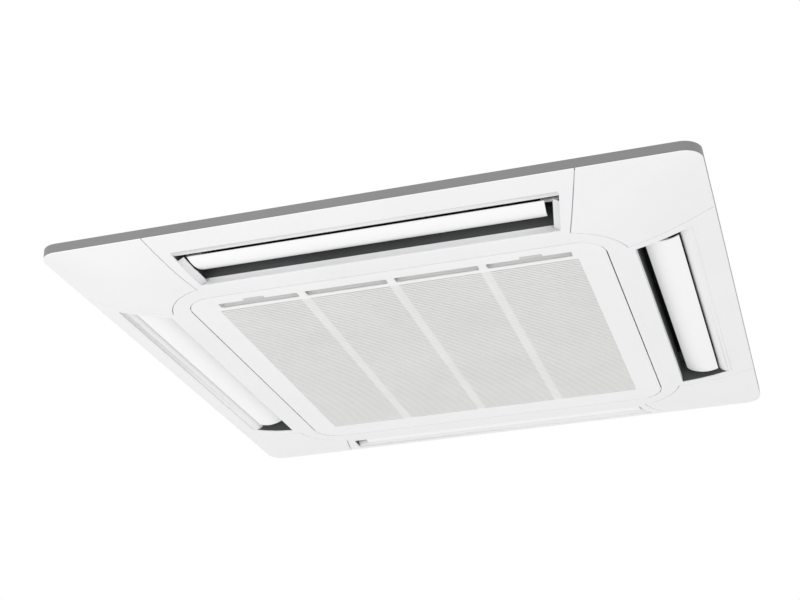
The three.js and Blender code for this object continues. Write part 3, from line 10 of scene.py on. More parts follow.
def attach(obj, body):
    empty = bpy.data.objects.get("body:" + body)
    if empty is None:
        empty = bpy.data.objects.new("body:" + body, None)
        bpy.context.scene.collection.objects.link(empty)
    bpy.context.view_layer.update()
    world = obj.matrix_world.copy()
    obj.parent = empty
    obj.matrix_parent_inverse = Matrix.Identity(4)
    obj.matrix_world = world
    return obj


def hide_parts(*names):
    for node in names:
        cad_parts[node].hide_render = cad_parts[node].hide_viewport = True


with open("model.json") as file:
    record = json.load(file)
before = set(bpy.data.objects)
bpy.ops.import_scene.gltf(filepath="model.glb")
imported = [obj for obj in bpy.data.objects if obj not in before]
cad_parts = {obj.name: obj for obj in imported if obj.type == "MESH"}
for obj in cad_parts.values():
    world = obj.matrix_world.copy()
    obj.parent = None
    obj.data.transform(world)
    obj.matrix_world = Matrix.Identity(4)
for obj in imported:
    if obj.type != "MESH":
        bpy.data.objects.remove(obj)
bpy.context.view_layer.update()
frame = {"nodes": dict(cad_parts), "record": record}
body_of_node = {n: body for body, nodes in frame["record"]["behaviour"]["bodies"].items() for n in nodes}

# ---- Panel moulding ----
# The white square moulding that covers the cut in the ceiling: injection-moulded ABS, 2.5 mm
# thick, crowned from its rim down to a flat middle. Four bolts under the corner covers hold it
# to the cabinet. Plan sizes are in millimetres, +Y is the far side and -Y the latch side.
MM = 0.001
PANEL_HALF, PANEL_CORNER, PANEL_DROP = 475.0, 28.0, 28.0
CROWN_CORNER, CROWN_START, CROWN_POWER = 80.0, 340.0, 1.57
EDGE_Z = -16.0
SKIN_WALL, SKIN_ROLL, SKIN_STEP = 2.5, 0.9, 8.0
WHITE_EDGE_TOP = -14.6
OUTLET_OUTER, OUTLET_OUTER_HALF = 440.0, 282.0
OUTLET_INNER, OUTLET_INNER_HALF = 356.0, 267.0
OUTLET_LAP, OUTLET_FILLET = 0.15, 3.0
GRILLE_OPENING, GRILLE_OPENING_CORNER = 318.0, 42.0
SEAM_OUTER, SEAM_INNER = 310.0, 280.0
COVER_ARC_CENTRE, COVER_ARC_RADIUS, COVER_ARC_STEPS = 253.5, 97.0, 28
BACK_SINK, BACK_INSET = 1.2, 2.0
CORNER_STEPS, ROUND_SIDES = 14, 24
WHITE_ABS = (0.87, 0.87, 0.88)


def corner_radius(half):
    """Corner radius of the level line that lies this far from the panel's centre."""
    if half > OUTLET_INNER:
        t = (half - OUTLET_INNER) / (PANEL_HALF - OUTLET_INNER)
        return CROWN_CORNER + t * (PANEL_CORNER - CROWN_CORNER)
    t = (half - GRILLE_OPENING) / (OUTLET_INNER - GRILLE_OPENING)
    return GRILLE_OPENING_CORNER + t * (CROWN_CORNER - GRILLE_OPENING_CORNER)


def outside_square(x, y, half):
    """Distance of a point outside the rounded square of that half-width, negative inside it."""
    radius = corner_radius(half)
    qx = abs(x) - half + radius
    qy = abs(y) - half + radius
    return math.hypot(max(qx, 0), max(qy, 0)) + min(max(qx, qy), 0) - radius


def level_line(x, y):
    """Half-width of the level line through a point of the panel, found by halving."""
    low = max(abs(x), abs(y))
    if outside_square(x, y, low) < 1e-6:
        return low
    high = low * 1.3
    for _ in range(22):
        middle = (low + high) / 2
        low, high = (middle, high) if outside_square(x, y, middle) > 0 else (low, middle)
    return (low + high) / 2


def panel_face(x, y):
    """Height of the panel's visible face."""
    out = max(0.0, level_line(x, y) - CROWN_START) / (PANEL_HALF - CROWN_START)
    return EDGE_Z - PANEL_DROP * (1 - min(out, 1.0) ** CROWN_POWER)


def quarter_turns(points, turns):
    """The points turned about the panel's middle by quarter turns."""
    for _ in range(turns):
        points = [(-y, x) for x, y in points]
    return points


def arc(x, y, radius, first, last, steps):
    """Points along an arc, with both its ends."""
    angles = [first + (last - first) * i / steps for i in range(steps + 1)]
    return [(x + radius * math.cos(a), y + radius * math.sin(a)) for a in angles]


def rounded_square(half, radius):
    """Anticlockwise loop of a square with rounded corners."""
    corner = arc(half - radius, half - radius, radius, 0, math.pi / 2, CORNER_STEPS)
    return [p for turns in range(4) for p in quarter_turns(corner, turns)]


def filleted(corners, radius, steps=5):
    """The same polygon with a fillet at each corner."""
    loop = []
    for i, here in enumerate(corners):
        here = Vector(here)
        back = (Vector(corners[i - 1]) - here).normalized()
        ahead = (Vector(corners[(i + 1) % len(corners)]) - here).normalized()
        half_angle = back.angle(ahead) / 2
        reach = radius / math.tan(half_angle)
        centre = here + (back + ahead).normalized() * (radius / math.sin(half_angle))
        start, end = here + back * reach - centre, here + ahead * reach - centre
        turn = start.angle_signed(end)
        for k in range(steps + 1):
            spoke = start.copy()
            spoke.rotate(Matrix.Rotation(-turn * k / steps, 2))
            loop.append(tuple(centre + spoke))
    return loop


def divided(loop, step):
    """The same loop with no segment longer than step."""
    points = []
    for i, (x0, y0) in enumerate(loop):
        x1, y1 = loop[(i + 1) % len(loop)]
        count = max(1, math.ceil(math.hypot(x1 - x0, y1 - y0) / step))
        points += [(x0 + (x1 - x0) * k / count, y0 + (y1 - y0) * k / count) for k in range(count)]
    return points


def drawn_in(loop, distance):
    """The loop moved to its left, which is where the material is, by a small distance."""
    p = np.array(loop)
    ahead = np.roll(p, -1, 0) - p
    ahead /= np.linalg.norm(ahead, axis=1)[:, None]
    left = np.stack([-ahead[:, 1], ahead[:, 0]], 1)
    before = np.roll(left, 1, 0)
    bend = 1 + (left * before).sum(1)
    return [tuple(q) for q in p + distance * (left + before) / np.maximum(bend, 0.3)[:, None]]


def inside(points, loops):
    """Which points lie within the outline and in none of its holes."""
    found = np.zeros(len(points), bool)
    for loop in loops:
        p = np.array(loop)
        for (x0, y0), (x1, y1) in zip(p, np.roll(p, -1, 0)):
            if y0 != y1:
                spans = (y0 > points[:, 1]) != (y1 > points[:, 1])
                found ^= spans & (points[:, 0] < (x1 - x0) * (points[:, 1] - y0) / (y1 - y0) + x0)
    return found


def clear_of(points, loops, distance):
    """Which points keep that distance from every loop."""
    keep = np.ones(len(points), bool)
    for loop in loops:
        for p in np.array(divided(loop, distance)):
            keep &= np.hypot(points[:, 0] - p[0], points[:, 1] - p[1]) > distance
    return keep


def joined(shell, a, b):
    """Adds the faces between two rings of the same length."""
    for j in range(len(a)):
        k = (j + 1) % len(a)
        shell.faces.new([a[j], a[k], b[k], b[j]])


def moulded_skin(shell, outline, holes, face, wall, roll, step, ceiling=math.inf):
    """Adds a moulded skin to a bmesh: its face follows face(x, y), and its edges roll upwards.
    The outline runs anticlockwise and the holes clockwise."""
    loops = [divided(loop, step) for loop in [outline, *holes]]
    inset_of_sheets = roll * 1.8
    angles = [math.pi / 2 * k / 4 for k in range(5)]
    edge = [(inset_of_sheets, 0.0)]
    edge += [(roll * (1 - math.sin(a)), roll * (1 - math.cos(a))) for a in angles]
    rings = []
    for loop in loops:
        for inset, rise in edge:
            rings.append([(x, y, face(x, y) + rise) for x, y in drawn_in(loop, inset)])
        for back in (loop, drawn_in(loop, inset_of_sheets)):
            rings.append([(x, y, min(face(x, y) + wall, ceiling)) for x, y in back])
    per_loop = len(edge) + 2
    border = [[p[:2] for p in ring] for ring in rings[::per_loop]]

    # Points on a grid between the borders, joined to them by triangles
    lows, highs = np.min(border[0], 0), np.max(border[0], 0)
    xs, ys = (np.arange(low + step / 2, high, step) for low, high in zip(lows, highs))
    grid = np.stack(np.meshgrid(xs, ys), -1).reshape(-1, 2)
    grid = grid[inside(grid, border)]
    grid = grid[clear_of(grid, border, step * 0.55)]
    flat, edges = [], []
    for loop in border:
        first = len(flat)
        flat += loop
        edges += [(first + i, first + (i + 1) % len(loop)) for i in range(len(loop))]
    flat += [tuple(p) for p in grid]
    made = geometry.delaunay_2d_cdt([Vector(p) for p in flat], edges, [], 0, 1e-6, True)
    places, _, triangles, came_from, *_ = made
    middles = np.array([np.mean([places[i] for i in t], 0) for t in triangles])
    triangles = [t for t, keep in zip(triangles, inside(middles, border)) if keep]
    source = [min(ids) for ids in came_from]

    rings = [[shell.verts.new(Vector(p) * MM) for p in ring] for ring in rings]
    for first, rise, top in ((0, 0.0, math.inf), (per_loop - 1, wall, ceiling)):
        verts = [v for ring in rings[first::per_loop] for v in ring]
        for x, y in grid:
            verts.append(shell.verts.new(Vector((x, y, min(face(x, y) + rise, top))) * MM))
        for triangle in triangles:
            corners = [verts[source[i]] for i in triangle]
            if len(set(corners)) == 3:
                shell.faces.new(corners)
    for start in range(0, len(rings), per_loop):
        for k in range(start, start + per_loop - 1):
            joined(shell, rings[k], rings[k + 1])


def square_ring(shell, section):
    """Adds a closed ring whose section points are (half-width, height, corner radius)."""
    rings = [
        [shell.verts.new(Vector((x, y, z)) * MM) for x, y in rounded_square(half, radius)]
        for half, z, radius in section
    ]
    for k, ring in enumerate(rings):
        joined(shell, ring, rings[(k + 1) % len(rings)])


def bar(shell, section, x0, x1, turns=0):
    """Adds a closed bar along X with the section points (y, z), turned by quarters about Z."""
    ends = []
    for x in (x0, x1):
        plan = quarter_turns([(x, y) for y, _ in section], turns)
        ends.append([shell.verts.new(Vector((px, py, z)) * MM) for (px, py), (_, z) in zip(plan, section)])
    joined(shell, *ends)
    for end in ends:
        shell.faces.new(end)


def oblong(y0, y1, z0, z1):
    """Section points of a square-edged bar along X."""
    return [(y0, z0), (y1, z0), (y1, z1), (y0, z1)]


def disc(y, z, radius):
    """Section points of a round bar along X."""
    return arc(y, z, radius, 0, 2 * math.pi, ROUND_SIDES)[:-1]


def placed(name, data):
    """A new object in the scene."""
    made = bpy.data.objects.new(name, data)
    bpy.context.scene.collection.objects.link(made)
    return made


def mesh_of(name, shell, material):
    """A mesh of one material made of a bmesh."""
    mesh = bpy.data.meshes.new(name)
    shell.to_mesh(mesh)
    shell.free()
    mesh.materials.append(material)
    return mesh


def on_body(made, body, smooth):
    """Smooths a piece between its sharp edges, and puts it on its body."""
    made.data.shade_smooth()
    made.data.set_sharp_from_angle(angle=math.radians(smooth))
    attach(made, body)
    return made


def piece(name, shell, material, body, smooth=35):
    """Makes a visible piece of a bmesh, and puts it on its body."""
    bmesh.ops.recalc_face_normals(shell, faces=shell.faces)
    return on_body(placed(name, mesh_of(name, shell, material)), body, smooth)


def put(tree, socket, value):
    """Links a value's socket to an input, or sets the input to a plain value."""
    if isinstance(value, bpy.types.NodeSocket):
        tree.links.new(value, socket)
    else:
        socket.default_value = value


def fill(tree, made, **inputs):
    """Links or sets a node's inputs by their names."""
    for key, value in inputs.items():
        put(tree, made.inputs[key.replace("_", " ")], value)


def node(tree, kind, settings=None, **inputs):
    """A node with its settings and its inputs."""
    made = tree.nodes.new(kind)
    for key, value in (settings or {}).items():
        setattr(made, key, value)
    fill(tree, made, **inputs)
    return made


def maths(tree, operation, *values, kind="ShaderNodeMath"):
    """The result of a sum on some values."""
    made = node(tree, kind, {"operation": operation})
    for socket, value in zip(made.inputs, values):
        put(tree, socket, value)
    return made.outputs[0]


def noise(tree, place, scale, detail=2.0):
    """A soft noise over the surface, from 0 to 1."""
    return node(tree, "ShaderNodeTexNoise", Vector=place, Scale=scale, Detail=detail).outputs["Fac"]


def spread(tree, value, low, high, from_low=0.3, from_high=0.7):
    """Maps a texture's value to a range."""
    ends = dict(From_Min=from_low, From_Max=from_high, To_Min=low, To_Max=high)
    return node(tree, "ShaderNodeMapRange", Value=value, **ends).outputs["Result"]


def tinted(tree, colour, shade):
    """A colour, lighter or darker by a value about 1."""
    settings = {"data_type": "RGBA", "blend_type": "MULTIPLY"}
    return node(tree, "ShaderNodeMix", settings, Factor=1.0, A=(*colour, 1), B=shade).outputs["Result"]


def material_named(name, base):
    """A new material with its Principled shader, ready for its nodes."""
    made = bpy.data.materials.new(name)
    made.use_nodes = True
    made.diffuse_color = (*base, 1)
    return made, made.node_tree, made.node_tree.nodes["Principled BSDF"]


def object_place(tree):
    """The place on the object, for a texture that stays on it."""
    return node(tree, "ShaderNodeTexCoord").outputs["Object"]


def new_group(name, inputs):
    """A shader group with named number inputs, and the place for its textures."""
    group = bpy.data.node_groups.new(name, "ShaderNodeTree")
    for label, value in inputs.items():
        group.interface.new_socket(label, in_out="INPUT", socket_type="NodeSocketFloat").default_value = value
    return group, group.nodes.new("NodeGroupInput").outputs, object_place(group)


def put_out(group, **results):
    """Gives a shader group its named outputs."""
    for label in results:
        group.interface.new_socket(label, in_out="OUTPUT", socket_type="NodeSocketFloat")
    node(group, "NodeGroupOutput", **results)


def surfaced(name, colour, group, relief, depth, values, metallic=0.0, roughness=None):
    """A material whose shade, relief and, unless it is given, roughness come from a shader group."""
    made, tree, shader = material_named(name, colour)
    surface = node(tree, "ShaderNodeGroup", {"node_tree": group}, **values).outputs
    bump = node(tree, "ShaderNodeBump", Strength=relief, Distance=depth * MM, Height=surface["Height"])
    fill(
        tree, shader, Base_Color=tinted(tree, colour, surface["Shade"]), Metallic=metallic,
        Roughness=surface["Roughness"] if roughness is None else roughness, Normal=bump.outputs["Normal"],
    )
    return made


# Moulded grain: the fine matt texture of the tool, and the faint unevenness of a large moulding
grain_group, asked, place = new_group("moulded_grain", {
    "Grain Scale": 2600.0, "Mottle Scale": 7.0, "Mottle": 0.012, "Roughness": 0.42, "Roughness Spread": 0.06,
})
patches = spread(grain_group, noise(grain_group, place, asked["Mottle Scale"]), -1.0, 1.0)
put_out(
    grain_group, Height=noise(grain_group, place, asked["Grain Scale"], 1.0),
    Shade=maths(grain_group, "MULTIPLY_ADD", patches, asked["Mottle"], 1.0),
    Roughness=maths(grain_group, "MULTIPLY_ADD", patches, asked["Roughness Spread"], asked["Roughness"]),
)


def moulded_plastic(name, colour, roughness, mottle=0.012, grain=2600.0, depth=0.02, mottle_scale=7.0):
    """Injection-moulded plastic with a fine matt grain."""
    values = {"Grain_Scale": grain, "Mottle_Scale": mottle_scale, "Mottle": mottle, "Roughness": roughness}
    return surfaced(name, colour, grain_group, 0.35, depth, values)


white_plastic = moulded_plastic("white_panel_plastic", WHITE_ABS, 0.42)

SEAM_SLOPE = (SEAM_OUTER - SEAM_INNER) / (PANEL_HALF - OUTLET_INNER)


def seam_x(y, inset):
    """Where the seam between panel and corner cover runs on the far side."""
    return SEAM_INNER + inset * math.hypot(1, SEAM_SLOPE) + SEAM_SLOPE * (y - OUTLET_INNER)


def cover_arc(inset):
    """The corner cover's inner arc at (+x, +y), from its seam with the right side round to the far one."""
    radius = COVER_ARC_RADIUS + inset
    start = seam_x(COVER_ARC_CENTRE, inset) - COVER_ARC_CENTRE
    a = 1 + SEAM_SLOPE**2
    b = 2 * SEAM_SLOPE * start
    rise = (-b + math.sqrt(b * b - 4 * a * (start * start - radius * radius))) / (2 * a)
    last = math.atan2(rise, start + SEAM_SLOPE * rise)
    return arc(COVER_ARC_CENTRE, COVER_ARC_CENTRE, radius, math.pi / 2 - last, last, COVER_ARC_STEPS)


def cad_copy(name):
    """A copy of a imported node's mesh with its double points merged."""
    shell = bmesh.new()
    shell.from_mesh(frame["nodes"][name].data)
    bmesh.ops.remove_doubles(shell, verts=shell.verts, dist=1e-6)
    return shell


# The panel's back as packed, its skin thinned so that the smooth face covers it
panel_shell = cad_copy("panel_frame")
for v in panel_shell.verts:
    x, y, z = v.co / MM
    out = max(abs(x), abs(y))
    if out > GRILLE_OPENING - 1 and z < panel_face(x, y) + 1.0 and z < EDGE_Z - 0.5:
        v.co.z += BACK_SINK * MM
    elif out > PANEL_HALF - BACK_INSET - 1:
        v.co.x *= (PANEL_HALF - BACK_INSET) / PANEL_HALF
        v.co.y *= (PANEL_HALF - BACK_INSET) / PANEL_HALF
slope = (OUTLET_OUTER_HALF - OUTLET_INNER_HALF) / (OUTLET_OUTER - OUTLET_INNER)
outer, inner = OUTLET_OUTER - OUTLET_LAP, OUTLET_INNER + OUTLET_LAP
outer_half = OUTLET_OUTER_HALF - OUTLET_LAP * (1 + slope)
inner_half = OUTLET_INNER_HALF - OUTLET_LAP * (1 - slope)
outlet = [(outer_half, outer), (-outer_half, outer), (-inner_half, inner), (inner_half, inner)]
panel_outline = []
panel_holes = [rounded_square(GRILLE_OPENING, GRILLE_OPENING_CORNER)[::-1]]
far_seam = (seam_x(PANEL_HALF, 0), PANEL_HALF)
for turns in range(4):
    panel_outline += quarter_turns([far_seam[::-1], *cover_arc(0), far_seam], turns)
    panel_holes.append(quarter_turns(filleted(outlet, OUTLET_FILLET), turns)[::-1])
moulded_skin(
    panel_shell, panel_outline, panel_holes, panel_face, SKIN_WALL, SKIN_ROLL, SKIN_STEP, WHITE_EDGE_TOP,
)
panel_moulding = piece("panel_moulding", panel_shell, white_plastic, "unit")
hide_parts("panel_frame")

# ---- Corner covers ----
# Four snap-on covers of the same white ABS, 1.8 mm thick. Each hides a panel bolt and the
# hanger behind it, and meets the panel along a seam 1.2 mm wide.
COVER_WALL, COVER_ROLL, COVER_SEAM = 1.8, 0.7, 1.2
CORNERS = {"far_right": (1, 1), "far_left": (-1, 1), "near_left": (-1, -1), "near_right": (1, -1)}

edge_end = seam_x(PANEL_HALF, COVER_SEAM)
corner_centre = PANEL_HALF - PANEL_CORNER
cover_outline = [
    (PANEL_HALF, edge_end),
    *arc(corner_centre, corner_centre, PANEL_CORNER, 0, math.pi / 2, CORNER_STEPS),
    (edge_end, PANEL_HALF),
    *cover_arc(COVER_SEAM)[::-1],
]
for turns, corner_name in enumerate(CORNERS):
    cover_shell = bmesh.new()
    moulded_skin(
        cover_shell, quarter_turns(cover_outline, turns), [], panel_face, COVER_WALL, COVER_ROLL, SKIN_STEP,
        WHITE_EDGE_TOP,
    )
    cover = piece(f"corner_cover_skin_{corner_name}", cover_shell, white_plastic, "unit")
    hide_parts(f"corner_cover_{corner_name}")

# ---- Rim band ----
# L-shaped band around the panel's edge. Its dark grey is painted shade, for the shade that falls on the
# panel's side face.
# Its flange lies on the ceiling board, and the white moulding stands a little below it.
RIM_BOTTOM, RIM_WALL = -14.3, 2.5
RIM_FLANGE, RIM_FLANGE_THICKNESS = 23.0, 2.0
RIM_TOP_EASE, RIM_BOTTOM_EASE = 0.6, 0.5
# The rim's dark grey is painted shade on the panel's side face
RIM_SHADE_GREY = (0.215, 0.213, 0.212)

rim_shade_plastic = moulded_plastic("rim_painted_shade_plastic", RIM_SHADE_GREY, 0.45, mottle=0.03)
rim_shell = bmesh.new()
rim_section = [
    (0, -RIM_TOP_EASE), (0, RIM_BOTTOM + RIM_BOTTOM_EASE), (RIM_BOTTOM_EASE, RIM_BOTTOM),
    (RIM_WALL, RIM_BOTTOM), (RIM_WALL, -RIM_FLANGE_THICKNESS),
    (RIM_FLANGE, -RIM_FLANGE_THICKNESS), (RIM_FLANGE, 0.0), (RIM_TOP_EASE, 0.0),
]
square_ring(rim_shell, [(PANEL_HALF - inset, z, PANEL_CORNER - inset) for inset, z in rim_section])
rim = piece("rim_band_skin", rim_shell, rim_shade_plastic, "unit")
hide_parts("rim_band")

# ---- Outlet ducts ----
# Four black foam-lined ducts between the drain pan's slots and the panel's outlets. They carry
# the flaps' bearings, and only their shaded walls show behind the flaps.
SIDES = ("far", "left", "near", "right")
DUCT_BLACK = (0.064, 0.068, 0.069)


def dressed(name, material, edge=0.0, smooth=35):
    """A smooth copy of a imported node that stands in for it, with its sharp edges eased."""
    shell = cad_copy(name)
    bmesh.ops.dissolve_limit(shell, angle_limit=math.radians(0.6), verts=shell.verts, edges=shell.edges)
    made = piece(f"{name}_dressed", shell, material, body_of_node[name], smooth)
    if edge:
        eased = made.modifiers.new("eased_edges", "BEVEL")
        eased.width = edge * MM
        eased.segments = 2
        eased.angle_limit = math.radians(40)
        eased.harden_normals = True
    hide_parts(name)


duct_plastic = moulded_plastic("black_duct_plastic", DUCT_BLACK, 0.75, mottle=0.15, grain=1400.0, depth=0.05)
for side in SIDES:
    dressed(f"outlet_duct_{side}", duct_plastic, 0.4)

# ---- Flaps ----
# Four curved white vanes, one in each outlet. Each swings on two pins, one in the duct's bearing
# and one in the stepping motor. The face bulges down, and the vane sits a little off the motor.
FLAP_HALF, FLAP_INNER_HALF = 261.0, 257.0
FLAP_INNER, FLAP_INNER_Z = 367.0, EDGE_Z - 5.5
FLAP_OUTER, FLAP_OUTER_Z = 418.0, EDGE_Z - 9.5
FLAP_BULGE, FLAP_SHIFT = 6.0, 3.5
FLAP_WALL, FLAP_ROLL, FLAP_STEP = 1.5, 0.45, 4.0
FLAP_ROUND, FLAP_ROUND_STEPS = 9.0, 8
PIVOT_OUT, PIVOT_Z = 396.0, -12.0
PIN_RADIUS, PIN_END = 3.0, 283.6
MOTOR_ENDS = (-1, 1, -1, 1)
EAR_X, EAR_THICKNESS = 249.5, 2.5
EAR_FOOT, EAR_NECK, EAR_TIP, EAR_RISE = 10.0, 5.0, 3.0, 4.8
FLAP_WHITE = (0.94, 0.94, 0.94)

flap_plastic = moulded_plastic("white_flap_plastic", FLAP_WHITE, 0.36, mottle=0.008)

# The blade's outline, with rounded corners on the grille side
flap_plan = [(FLAP_HALF, FLAP_OUTER), (-FLAP_HALF, FLAP_OUTER)]
round_x, round_y = FLAP_INNER_HALF - FLAP_ROUND, FLAP_INNER + FLAP_ROUND
for side, first in ((-1, math.pi), (1, -math.pi / 2)):
    flap_plan += arc(side * round_x, round_y, FLAP_ROUND, first, first + math.pi / 2, FLAP_ROUND_STEPS)

foot_out = (FLAP_INNER + FLAP_OUTER) / 2
foot_z = (FLAP_INNER_Z + FLAP_OUTER_Z) / 2 - FLAP_BULGE + 1.0
ear = [
    (PIVOT_OUT - EAR_NECK, PIVOT_Z), (foot_out - EAR_FOOT, foot_z), (foot_out + EAR_FOOT, foot_z),
    (PIVOT_OUT + EAR_NECK, PIVOT_Z), (PIVOT_OUT + EAR_TIP, PIVOT_Z + EAR_RISE),
    (PIVOT_OUT - EAR_TIP, PIVOT_Z + EAR_RISE),
]


def vane_z(out):
    """Height of a vane's face by its distance from the panel's middle."""
    t = (out - FLAP_INNER) / (FLAP_OUTER - FLAP_INNER)
    return FLAP_INNER_Z + (FLAP_OUTER_Z - FLAP_INNER_Z) * t - FLAP_BULGE * 4 * t * (1 - t)


for turns, side_name in enumerate(SIDES):
    flap_shell = bmesh.new()
    vane_plan = quarter_turns([(x - MOTOR_ENDS[turns] * FLAP_SHIFT, y) for x, y in flap_plan], turns)
    moulded_skin(
        flap_shell, vane_plan, [], lambda x, y: vane_z(quarter_turns([(x, y)], -turns % 4)[0][1]),
        FLAP_WALL, FLAP_ROLL, FLAP_STEP,
    )
    for side in (-1, 1):
        bar(flap_shell, ear, side * EAR_X, side * (EAR_X + EAR_THICKNESS), turns)
        bar(flap_shell, disc(PIVOT_OUT, PIVOT_Z, PIN_RADIUS), side * (EAR_X + 1), side * PIN_END, turns)
    flap = piece(f"flap_vane_{side_name}", flap_shell, flap_plastic, f"flap_{side_name}")
    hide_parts(f"flap_{side_name}")

# ---- Flap motors ----
# A small stepping motor at one end of each duct, in a plated can with two ears. The cabinet's
# galvanised sheet has the same finish in larger crystals.
MOTOR_CAN = (0.42, 0.44, 0.47)
CRYSTAL_WARP = (0.012, 0.012, 0.012)

# Plate spangle: the large crystals of hot-dip galvanised sheet
spangle_group, asked, place = new_group(
    "zinc_spangle", {"Crystal Scale": 90.0, "Contrast": 0.12, "Roughness": 0.38},
)
warp = node(spangle_group, "ShaderNodeTexNoise", Vector=place, Scale=60.0, Detail=2.0)
pushed = maths(
    spangle_group, "MULTIPLY_ADD", warp.outputs["Color"], CRYSTAL_WARP, place, kind="ShaderNodeVectorMath",
)
crystals = node(spangle_group, "ShaderNodeTexVoronoi", Vector=pushed, Scale=asked["Crystal Scale"])
grey = node(spangle_group, "ShaderNodeSeparateColor", Color=crystals.outputs["Color"])
tone = spread(spangle_group, grey.outputs["Red"], -1.0, 1.0, 0.0, 1.0)
put_out(
    spangle_group, Height=warp.outputs["Fac"],
    Shade=maths(spangle_group, "MULTIPLY_ADD", tone, asked["Contrast"], 1.0),
    Roughness=maths(spangle_group, "MULTIPLY_ADD", grey.outputs["Green"], 0.14, asked["Roughness"]),
)


def plated_metal(name, colour, crystal_scale, contrast, roughness):
    """Zinc-plated or galvanised steel sheet."""
    values = {"Crystal_Scale": crystal_scale, "Contrast": contrast, "Roughness": roughness}
    return surfaced(name, colour, spangle_group, 0.2, 0.2, values, metallic=1.0)


motor_can = plated_metal("plated_motor_can", MOTOR_CAN, 400.0, 0.04, 0.34)
for side in SIDES:
    dressed(f"flap_motor_{side}", motor_can, 0.3)

# ---- Intake grille ----
# The hinged middle of the panel: a white frame with a field of fine slats over three ribs. Two
# pins on the far side carry it, and four finger slots run along the latch side.
GRILLE_HALF, GRILLE_CORNER = 316.5, 40.5
GRILLE_FACE, GRILLE_SIDE_TOP = EDGE_Z - PANEL_DROP, -30.0
GRILLE_WALL, GRILLE_ROLL, GRILLE_STEP = 2.5, 1.0, 12.0
FIELD_HALF_X, FIELD_NEAR, FIELD_FAR, FIELD_FILLET = 275.0, -267.0, 270.0, 3.0
RIB_SPACING, RIB_WIDTH, RIB_TOP, RIB_LAP = 138.0, 14.0, -36.0, 3
SLAT_PITCH, SLAT_WIDTH, SLAT_DEPTH = 5.5, 3.4, 3.0
FINGER_NEAR, FINGER_FAR, FINGER_END, FINGER_BRIDGE = -292.0, -276.0, 269.0, 12.0
LATCH_X, LATCH_TAB_WIDTH, LATCH_NOTCH = 211.0, 30.0, 7.0
RAIL_NEAR, RAIL_FAR, RAIL_BOTTOM, RAIL_TOP = -304.0, -292.0, -41.8, -34.4
RAIL_GAP, RAIL_WIDTH, HOOK_REACH, HOOK_BOTTOM = 2.3, 3, 2, -36.4
GRILLE_PIN_Y, GRILLE_PIN_Z, GRILLE_PIN_REACH = 274.0, -36.0, 8.0
GRILLE_WHITE = (0.885, 0.885, 0.888)
SLAT_WHITE = (0.825, 0.825, 0.81)

grille_plastic = moulded_plastic("white_grille_plastic", GRILLE_WHITE, 0.42)
slat_plastic = moulded_plastic("slat_plastic", SLAT_WHITE, 0.5, mottle=0.02, mottle_scale=11.0)


def finger_slot(bay):
    """Outline of one finger slot; the outer two widen where a latch tab sits."""
    left = -FINGER_END if bay == -1 else (bay - 1) * RIB_SPACING + FINGER_BRIDGE / 2
    right = FINGER_END if bay == 2 else bay * RIB_SPACING - FINGER_BRIDGE / 2
    notch = []
    if bay in (-1, 2):
        x = -LATCH_X if bay == -1 else LATCH_X
        x0, x1 = x - LATCH_TAB_WIDTH / 2 - 1, x + LATCH_TAB_WIDTH / 2 + 1
        low = FINGER_NEAR - LATCH_NOTCH
        notch = [(x0, FINGER_NEAR), (x0, low), (x1, low), (x1, FINGER_NEAR)]
    corners = [(left, FINGER_NEAR), *notch, (right, FINGER_NEAR), (right, FINGER_FAR), (left, FINGER_FAR)]
    return filleted(corners, 2.4, 4)


grille_shell = bmesh.new()
field = filleted(oblong(-FIELD_HALF_X, FIELD_HALF_X, FIELD_NEAR, FIELD_FAR), FIELD_FILLET)
grille_holes = [field[::-1], *(finger_slot(bay)[::-1] for bay in (-1, 0, 1, 2))]
moulded_skin(
    grille_shell, rounded_square(GRILLE_HALF, GRILLE_CORNER), grille_holes, lambda x, y: GRILLE_FACE,
    GRILLE_WALL, GRILLE_ROLL, GRILLE_STEP,
)
square_ring(grille_shell, [
    (GRILLE_HALF - inset, z, GRILLE_CORNER - inset)
    for inset, z in oblong(0, GRILLE_WALL, GRILLE_SIDE_TOP, GRILLE_FACE + 1.5)
])
pin_section = disc(GRILLE_PIN_Y, GRILLE_PIN_Z, PIN_RADIUS)
pin_start, pin_end = GRILLE_HALF - GRILLE_WALL, GRILLE_HALF + GRILLE_PIN_REACH
rail_section, hook_section = (oblong(RAIL_NEAR, RAIL_FAR, z, RAIL_TOP) for z in (RAIL_BOTTOM, HOOK_BOTTOM))
for side in (-1, 1):
    bar(grille_shell, pin_section, side * pin_start, side * pin_end)
    for edge in (-1, 1):
        rail_x = side * LATCH_X + edge * (LATCH_TAB_WIDTH / 2 + RAIL_GAP)
        bar(grille_shell, rail_section, rail_x, rail_x + edge * RAIL_WIDTH)
        bar(grille_shell, hook_section, rail_x - edge * HOOK_REACH, rail_x)
grille = piece("grille_frame", grille_shell, grille_plastic, "grille")

# A tray behind the finger slots, grey as painted shade that darkens the slots
TRAY_Z, TRAY_WALL, TRAY_RIM_Z = -36.5, 1.2, -42.0
SLOT_SHADE_GREY = (0.76, 0.76, 0.75)
tray_shell = bmesh.new()
tray_end, tray_back, tray_top = FINGER_END + TRAY_WALL, FINGER_FAR + TRAY_WALL, TRAY_Z + 0.5
bar(tray_shell, oblong(FINGER_NEAR, tray_back, TRAY_Z, TRAY_Z + TRAY_WALL), -tray_end, tray_end)
bar(tray_shell, oblong(FINGER_FAR, tray_back, TRAY_RIM_Z, tray_top), -tray_end, tray_end)
for x in (-tray_end, -RIB_SPACING, 0.0, RIB_SPACING, FINGER_END):
    bar(tray_shell, oblong(FINGER_NEAR, FINGER_FAR + 0.5, TRAY_RIM_Z, tray_top), x, x + TRAY_WALL)
# The tray's grey is painted shade in the finger slots
tray = moulded_plastic("slot_painted_shade_plastic", SLOT_SHADE_GREY, 0.5)
piece("finger_slot_tray", tray_shell, tray, "grille")


